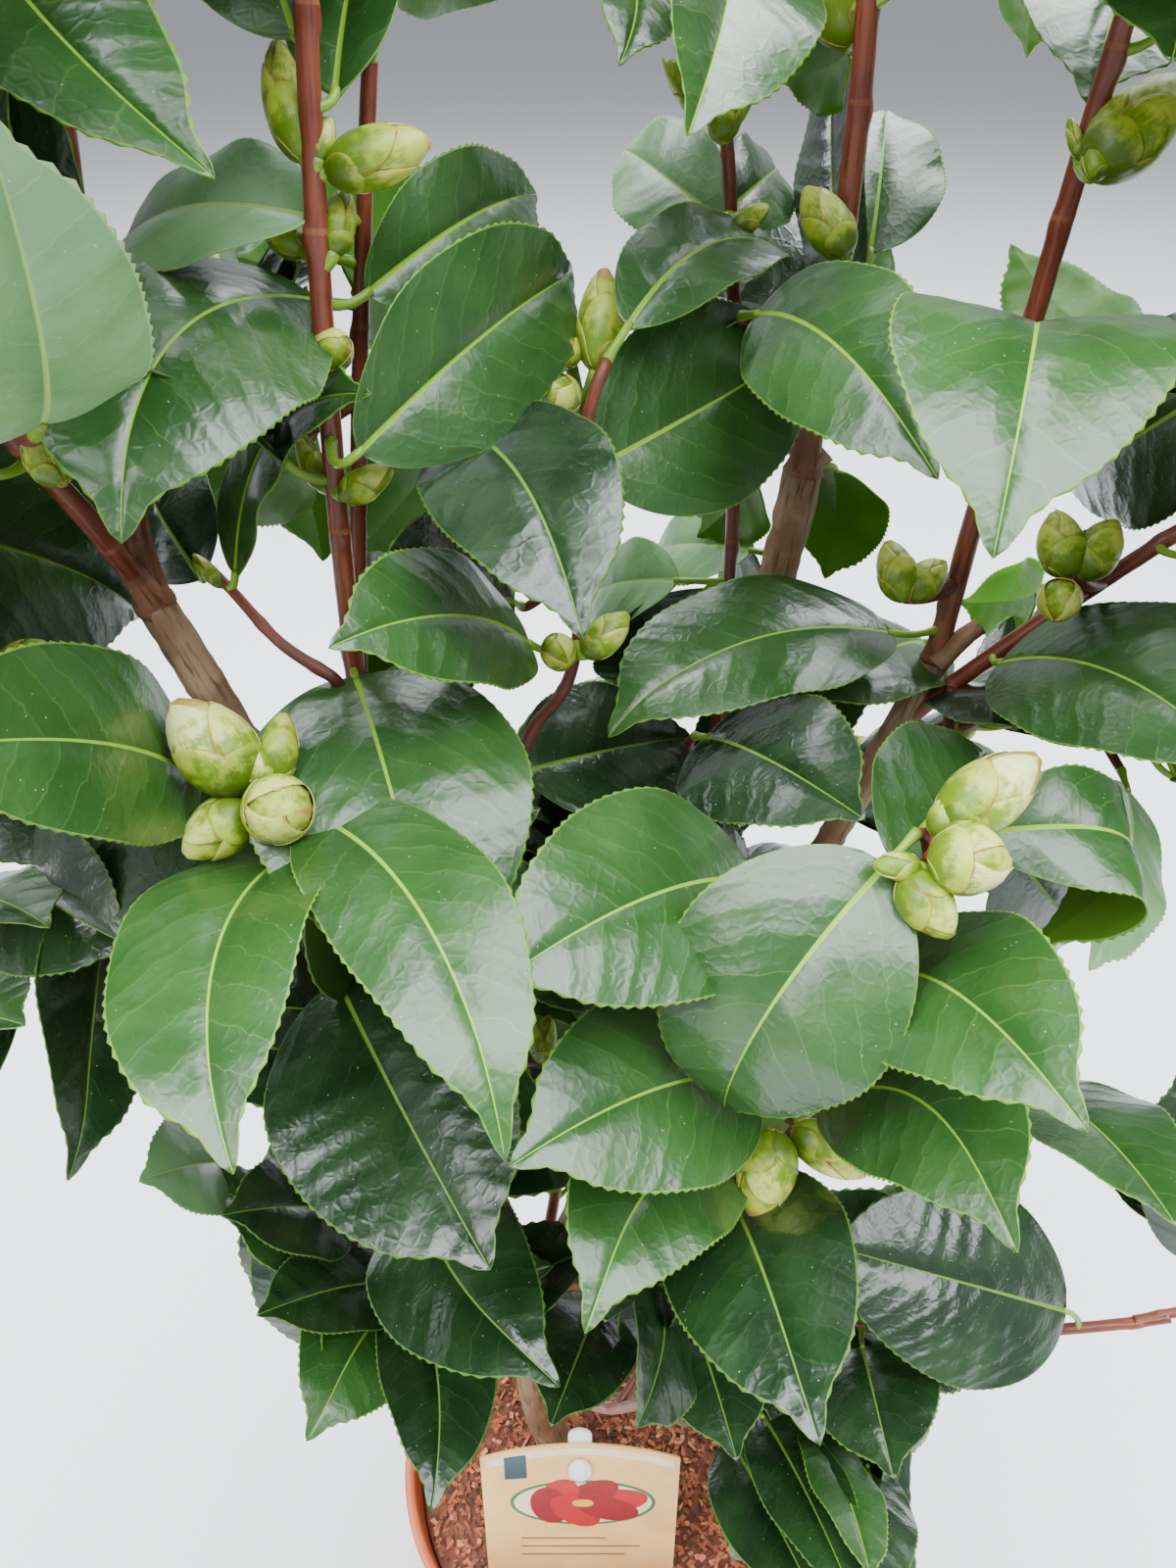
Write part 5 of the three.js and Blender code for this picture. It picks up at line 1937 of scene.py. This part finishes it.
@dataclass(frozen=True)
class Compost:
    """Bark compost: an uneven bed with loose chips on it, in millimetres."""

    level: float = 136.6
    edge: float = 77.2
    bottom: float = 120.0
    rings: int = 60
    sectors: int = 150
    chips: int = 2600
    tone_shares: tuple[float, ...] = (0.42, 0.28, 0.2, 0.1)
    seed: int = 21

    def height(self, x: Array, y: Array) -> Array:
        """Returns the height of the bed."""
        swell = 1.3 * np.sin(x / 17 + 1) * np.cos(y / 13 + 2) + 0.8 * np.sin(x / 6.1) * np.sin(y / 7.3 + 1)
        far = smooth_step(8, 30, np.hypot(x + 12, y))
        return self.level + 1.2 * (1 - far) + (swell - 1.2) * far

    def bed(self) -> MeshParts:
        """Returns the bed as a closed disc with a crumbly top."""
        rng = np.random.default_rng(self.seed)
        radius = np.linspace(0.02, 1, self.rings + 1)[:, None] * self.edge
        angle = np.arange(self.sectors + 1)[None] / self.sectors * math.tau
        x, y = radius * np.cos(angle), radius * np.sin(angle)
        crumb = rng.uniform(-0.7, 0.7, x.shape)
        crumb[:, -1] = crumb[:, 0]
        parts = MeshParts()
        heights = (self.height(x, y) + crumb, np.full_like(x, self.bottom))
        top, bottom = (np.stack([x, y, z], -1) for z in heights)
        add_slab(parts, top, bottom)
        return parts

    def loose_chips(self, parts: MeshParts) -> None:
        """Scatters splintered bark chips over the bed."""
        rng = np.random.default_rng(self.seed + 1)
        corners = np.array([[x, y, z] for x in (-1, 1) for y in (-1, 1) for z in (-1, 1)], float)
        faces = np.array([[0, 1, 3, 2], [4, 6, 7, 5], [0, 4, 5, 1], [2, 3, 7, 6], [0, 2, 6, 4], [1, 5, 7, 3]])
        for _ in range(self.chips):
            angle, reach = rng.uniform(0, math.tau), self.edge * math.sqrt(rng.uniform(0, 0.985))
            place = np.array([math.cos(angle), math.sin(angle)])
            length = rng.uniform(1.6, 5.2) * (0.6 if rng.uniform() < 0.5 else 1)
            size = np.array([length, rng.uniform(0.7, 1.9), rng.uniform(0.4, 1.1)]) * 0.62
            shape = corners * size * rng.uniform(0.55, 1.2, (8, 3))
            turn, tilt = rng.uniform(0, math.tau), rng.normal(0, 0.35)
            x, y = place * min(reach, self.edge - length * 0.7)
            rest = float(self.height(x, y)) + 0.35 + rng.uniform(-0.4, 0.8)
            shape = shape @ (rotation(turn, 0, 1) @ rotation(tilt, 2, 0)).T + [x, y, rest]
            parts.add(shape, [faces], 1 + int(rng.choice(len(self.tone_shares), p=self.tone_shares)))

    def build(self) -> None:
        """Makes the compost and dresses it."""
        parts = self.bed()
        self.loose_chips(parts)
        piece = parts.build("compost_chips", [finish.build() for finish in COMPOST_FINISHES])
        piece.data.polygons.foreach_set("use_smooth", np.zeros(len(piece.data.polygons), bool))
        register(piece, ["compost"])


INKS = [
    MadeFinish(*ink)
    for ink in (
        ("card_kraft", (240, 190, 118), (224, 172, 102)),
        ("card_cream", (236, 220, 184), (212, 190, 150)),
        ("ink_teal", (26, 66, 76), (20, 54, 64)),
        ("ink_green", (54, 116, 62), (44, 98, 54)),
        ("ink_red", (190, 8, 22), (170, 6, 20)),
        ("ink_deep_red", (150, 4, 16), (130, 4, 14)),
        ("ink_yellow", (226, 176, 60), (206, 150, 46)),
        ("ink_brown", (128, 92, 60), (110, 78, 50)),
    )
]


@dataclass(frozen=True)
class Label:
    """A card label on a white stake, with a plain printed flower and no lettering, in millimetres."""

    half_width: float = 38.0
    side_height: float = 82.0
    arch: float = 100.0
    corner: float = 3.0
    thickness: float = 0.8
    lean: float = -0.1
    place: Place = (-7.0, -46.0, 146.0)
    button_height: float = 76.0
    petals: int = 6
    stripe: float = 0.9
    stake_half_width: float = 4.5
    stake_top: float = 93.5
    stake_point: float = -40.0

    def edge(self, inset: float = 0.0) -> Array:
        """Returns the card's outline, from its lower left corner round to its lower right one."""
        wide, corner = self.half_width - inset, self.corner
        turn = np.linspace(math.pi, 1.5 * math.pi, 7)
        left = np.stack([-wide + corner + corner * np.cos(turn), corner + inset + corner * np.sin(turn)], 1)
        side = self.side_height - inset
        ends = np.array([[wide, side], [0, self.arch - inset], [-wide, side]])
        return np.concatenate([left, (left * [-1, 1])[::-1], quadratic(ends, np.linspace(0, 1, 33))])

    def plate(self, parts: MeshParts, outline: Array, front: float, back: float, slot: int) -> None:
        """Adds a flat plate, leant as the label is in the pot.

        Args:
            parts: What it is added to.
            outline: Its outline, across and up.
            front: The place of its front face.
            back: The place of its back face.
            slot: Its material slot.
        """
        x, z = outline.T
        if np.sum(x * np.roll(z, -1) - z * np.roll(x, -1)) < 0:
            x, z = x[::-1], z[::-1]
        count = len(x)
        rim = np.arange(count)
        after = np.roll(rim, -1)
        vertices = np.concatenate([np.stack([x, np.full(count, y), z], 1) for y in (front, back)])
        sides = np.stack([rim + count, after + count, after, rim], 1)
        vertices = vertices @ rotation(self.lean, 1, 2).T + self.place
        parts.add(vertices, [rim, (rim + count)[::-1], sides], slot)

    def oval(self, x: float, z: float, wide: float, high: float, turn: float = 0.0) -> Array:
        """Returns an oval outline."""
        angle = np.linspace(0, math.tau, 48, endpoint=False)
        flat = np.stack([wide * np.cos(angle), high * np.sin(angle)], 1)
        return flat @ rotation(turn, 0, 1)[:2, :2].T + [x, z]

    def card(self) -> MeshParts:
        """Returns the card with its print: band, square, oval, flower and stripes, each a thin plate."""
        parts = MeshParts()
        self.plate(parts, self.edge(), 0, self.thickness, 0)
        top = self.edge(2.2)[14:]
        prints = [
            (np.concatenate([top, (top * [0.985, 1] - [0, 4.2])[::-1]]), -0.06, 1),
            (np.array([[-29, 68], [-20.5, 69], [-20.5, 84.5], [-29, 82.6]]), -0.09, 2),
            (self.oval(1, 52, 28.5, 15.5), -0.09, 3),
            (self.oval(1, 52, 27, 14), -0.12, 1),
        ]
        for index in range(self.petals):
            turn = index * math.tau / self.petals + 0.3
            petal = self.oval(1 + 13.5 * math.cos(turn), 52 + 6 * math.sin(turn), 12.6, 7.6, 0.5 * turn)
            prints.append((petal, -0.15 - 0.01 * index, 4 + index % 2))
        prints.append((self.oval(1, 52, 4.2, 2.6), -0.24, 6))
        for low, right in ((26, 10), (20, 24), (14, 18)):
            high = low + self.stripe
            prints.append((np.array([[-24, low], [right, low], [right, high], [-24, high]]), -0.08, 7))
        for outline, front, slot in prints:
            self.plate(parts, outline, front, 0.1, slot)
        return parts

    def build(self) -> None:
        """Makes the card and the stake."""
        piece = self.card().build("label_front", [ink.build() for ink in INKS])
        select_only(piece)
        bpy.ops.object.shade_smooth_by_angle(angle=math.radians(30))
        register(piece, ["label_card"])
        stake = MeshParts()
        turn = np.linspace(0, math.pi, 17)
        wide, low = self.stake_half_width, self.stake_point
        crown = np.stack([wide * np.cos(turn), self.stake_top + wide * np.sin(turn)], 1)
        point = [[-wide, low + 2 * wide], [0, low], [wide, low + 2 * wide]]
        self.plate(stake, np.concatenate([crown, point]), 1.1, 2.7, 0)
        self.plate(stake, self.oval(0, self.button_height, 2.2, 4.4), -0.6, 1.4, 0)
        self.plate(stake, self.oval(0, self.button_height, 4.5, 6.5), -1.9, -0.3, 0)
        gloss = Surface(0.35, 0.06, relief=0.1)
        white = MadeFinish("stake_white", (232, 232, 226), (216, 216, 208), 50, 900, gloss)
        post = stake.build("label_post", [white.build()])
        select_only(post)
        bevel = post.modifiers.new("soft_edge", "BEVEL")
        bevel.width, bevel.segments = 0.45 * MM, 2
        bpy.ops.object.modifier_apply(modifier=bevel.name)
        bpy.ops.object.shade_smooth_by_angle(angle=math.radians(50))
        register(post, ["label_stake"])


@dataclass(frozen=True)
class Studio:
    """A plain pale floor under soft light from above."""

    floor_radius: float = 40.0
    sky_size: float = 4.2
    sky_power: float = 680.0
    ambient: float = 0.64

    def build(self) -> None:
        """Makes the floor, the lights and the world."""
        select_only()
        bpy.ops.mesh.primitive_circle_add(
            vertices=96, radius=self.floor_radius, fill_type="NGON", location=(0, 0, -0.0005)
        )
        floor = bpy.context.object
        floor.name = "studio_floor"
        finish = Finish("studio_floor", Surface(0.85, 0.05, relief=0.02))
        finish.colour(linear((188, 188, 188)))
        floor.data.materials.append(finish.material)
        floor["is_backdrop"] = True
        self.lamp("sky_panel", (0.1, 0.25, 2.4), (0, 0, 0), self.sky_size, self.sky_power, (0.9, 0.96, 1.0))
        self.lamp("window_panel", (-1.7, -1.5, 1.5), (62, 0, -48), 1.2, 30.0, (1, 1, 1))
        world = bpy.data.worlds.new("studio_world")
        world.use_nodes = True
        background = world.node_tree.nodes["Background"]
        background.inputs["Color"].default_value = (0.9, 0.94, 1.0, 1)
        background.inputs["Strength"].default_value = self.ambient
        bpy.context.scene.world = world

    def lamp(self, name: str, place: Place, turn: Place, size: float, power: float, colour: Place) -> None:
        """Adds a square soft light.

        Args:
            name: Its name.
            place: Where it hangs, in metres.
            turn: How it is turned, in degrees.
            size: Its side in metres.
            power: Its power in watts.
            colour: Its colour.
        """
        data = bpy.data.lights.new(name, "AREA")
        data.size, data.energy, data.color = size, power, colour
        lamp = bpy.data.objects.new(name, data)
        lamp.location, lamp.rotation_euler = place, [math.radians(angle) for angle in turn]
        bpy.context.scene.collection.objects.link(lamp)


def main() -> None:
    """Builds the studio, the pot and the plant in order."""
    logging.basicConfig(level=logging.INFO, format="%(name)s: %(message)s")
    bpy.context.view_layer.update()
    camera = PhotoCamera()
    camera.build()
    Studio().build()
    groups = build_groups()
    framework = Framework()
    Woodwork().build(framework, groups, camera)
    Pot().build()
    Compost().build()
    Label().build()
    Crown(framework, camera, groups).build()


if __name__ == "__main__":
    main()
